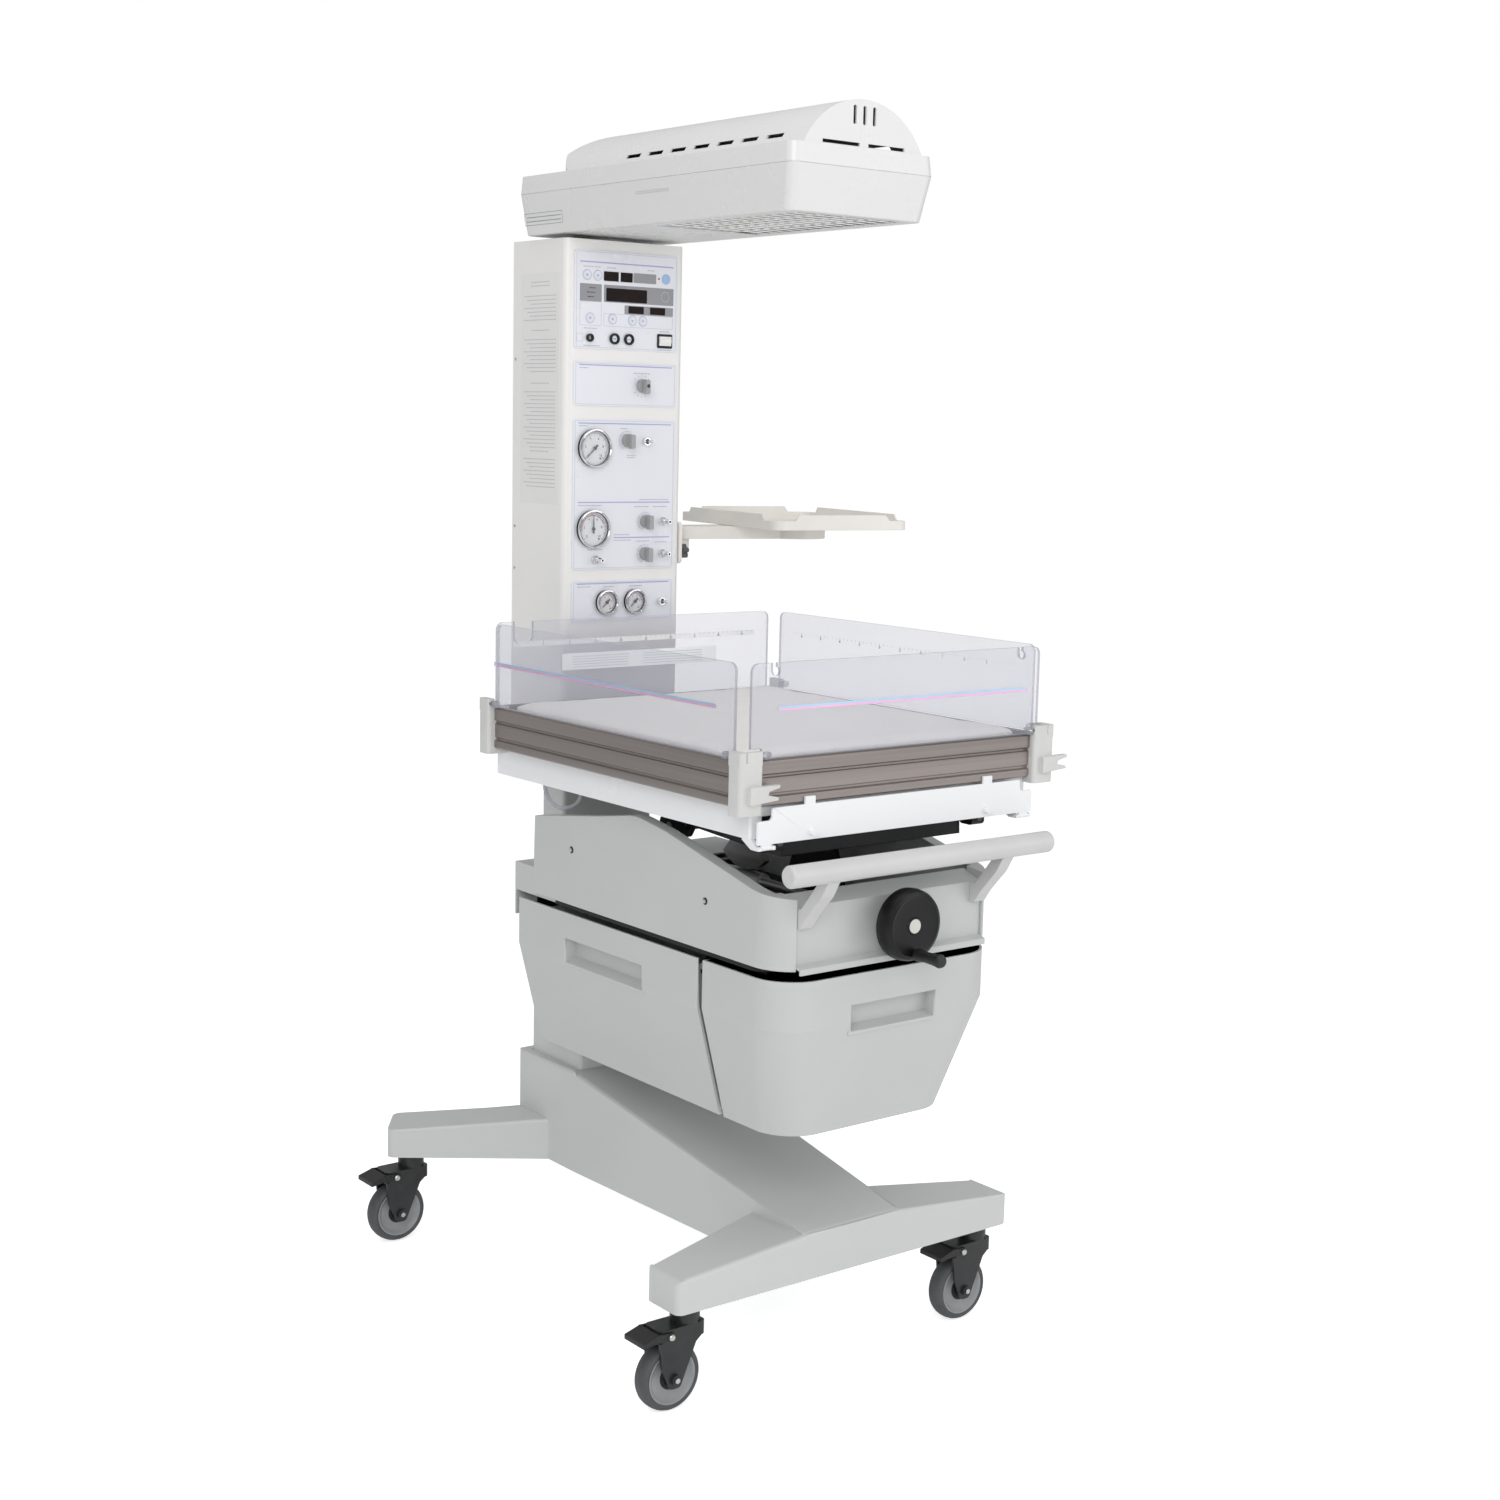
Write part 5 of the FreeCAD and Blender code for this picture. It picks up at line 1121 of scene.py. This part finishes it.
# A point of the smaller start is the middle, plus its way from the middle times one less the shrink over the
# half size.
def padStart(low, high):
    mesh = nodes["mattress"].data.copy()
    reworked(mesh)
    middle, half = (low + high) / 2, (high - low) / 2
    points = middle + (pointsOf(mesh) - middle) * (1 - mattressLook["shrink"] / 1000 / half)
    mesh.vertices.foreach_set("co", points.ravel())
    dropNormals(mesh)
    return mesh


def evaluatedMesh(piece):
    return bpy.data.meshes.new_from_object(piece.evaluated_get(bpy.context.evaluated_depsgraph_get()))


# Bakes the live modifiers of a piece into its mesh.
def applied(piece):
    bpy.context.view_layer.update()
    mesh = evaluatedMesh(piece)
    piece.modifiers.clear()
    piece.data = mesh


# Pressure from inside fills the cover; a point may move only as far as the cap.
def makeMattress():
    look = mattressLook
    low, high = (np.array(corner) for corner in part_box("mattress"))
    pad = linked("mattressPad", padStart(low, high))
    remesh = pad.modifiers.new("evenMesh", "REMESH")
    remesh.mode = "VOXEL"
    remesh.voxel_size = look["voxel"]
    applied(pad)
    before = pointsOf(pad.data)
    cloth = pad.modifiers.new("swell", "CLOTH")
    cloth.settings.use_pressure = True
    cloth.settings.uniform_pressure_force = look["pressure"]
    cloth.settings.effector_weights.gravity = 0
    cloth.settings.quality = 6
    cloth.point_cache.frame_start, cloth.point_cache.frame_end = 1, look["frames"]
    for step in range(1, look["frames"] + 1):
        scene.frame_set(step)
    swollen = evaluatedMesh(pad)
    after = pointsOf(swollen)
    pad.modifiers.clear()
    bpy.data.meshes.remove(swollen)
    scene.frame_set(1)
    shift = after - before
    far = np.linalg.norm(shift, axis=1, keepdims=True)
    after = before + shift * np.minimum(1, look["cap"] / np.maximum(far, 1e-9))
    after = np.clip(after, low - (0.001, 0.001, 0.0), high + (0.001, 0.001, 0.004))
    pad.data.vertices.foreach_set("co", after.ravel())
    smooth = pad.modifiers.new("softer", "SUBSURF")
    smooth.levels = smooth.render_levels = 1
    applied(pad)
    pad.data.materials.clear()
    pad.data.materials.append(finishes["cover"])
    pad.data.shade_smooth()
    standIn(pad, "mattress")
    print("mattress swollen, points:", len(pad.data.vertices))


makeMattress()
print("mattress made")

lights = {
    "keySoft": {"place": (-3300, -3600, 2900), "aim": (0, -250, 900), "size": 2.6, "power": 84},
    "fillSoft": {"place": (2300, -4200, 1900), "aim": (0, -300, 900), "size": 3.0, "power": 42},
    "topSoft": {"place": (-300, -900, 4200), "aim": (0, -300, 900), "size": 3.0, "power": 44},
}
surround = {"seen": 1.0, "light": 0.44, "floorLight": 0.17, "floorSeen": 0.66}


def makeLights():
    for name, look in lights.items():
        data = bpy.data.lights.new(name, "AREA")
        data.shape = "SQUARE"
        data.size = look["size"]
        data.energy = look["power"]
        lamp = linked(name, data)
        lamp.location, aim = Vector(toFrame(look["place"])), Vector(toFrame(look["aim"]))
        lamp.rotation_euler = (aim - lamp.location).to_track_quat("-Z", "Y").to_euler()


# White where the camera sees it, a little dimmer as a light.
def makeSurround():
    world = bpy.data.worlds.new("studio")
    world.use_nodes = True
    tree = world.node_tree
    tree.nodes.clear()
    seen, lit, path, mix, out = (tree.nodes.new(f"ShaderNode{kind}") for kind in (
        "Background", "Background", "LightPath", "MixShader", "OutputWorld"))
    setInputs(seen, {"Color": (1, 1, 1, 1), "Strength": surround["seen"]})
    setInputs(lit, {"Color": (0.97, 0.98, 1.0, 1), "Strength": surround["light"]})
    tree.links.new(path.outputs["Is Camera Ray"], mix.inputs["Fac"])
    tree.links.new(lit.outputs[0], mix.inputs[1])
    tree.links.new(seen.outputs[0], mix.inputs[2])
    tree.links.new(mix.outputs[0], out.inputs["Surface"])
    scene.world = world


# The floor looks white to the camera, and lights the part only a little.
def makeFloor():
    mesh = bpy.data.meshes.new("studioFloor")
    far = 40.0
    mesh.from_pydata([(-far, -far, 0), (far, -far, 0), (far, far, 0), (-far, far, 0)], [], [(0, 1, 2, 3)])
    floor = linked("studioFloor", mesh)
    material, tree, principled = newMaterial("studioFloor", (0.86, 0.86, 0.86), 0.75)
    coords = tree.nodes.new("ShaderNodeTexCoord")
    tone = scaledNoise(tree, coords.outputs["Object"], 2.0, 2.0)
    colour = mixColours(tree, ranged(tree, tone, 0.3, 0.7), (0.86, 0.86, 0.86, 1.0),
                        (0.875, 0.875, 0.875, 1.0))
    tree.links.new(colour, principled.inputs["Base Color"])
    setInputs(principled, {"Emission Color": (1, 1, 1, 1), "Specular IOR Level": 0.1})
    path = tree.nodes.new("ShaderNodeLightPath")
    glow = ranged(tree, path.outputs["Is Camera Ray"], 0.0, 1.0, surround["floorLight"],
                  surround["floorSeen"])
    tree.links.new(glow, principled.inputs["Emission Strength"])
    mesh.materials.append(material)


makeLights()
makeSurround()
makeFloor()
scene.view_settings.view_transform = "Standard"
print("studio made")
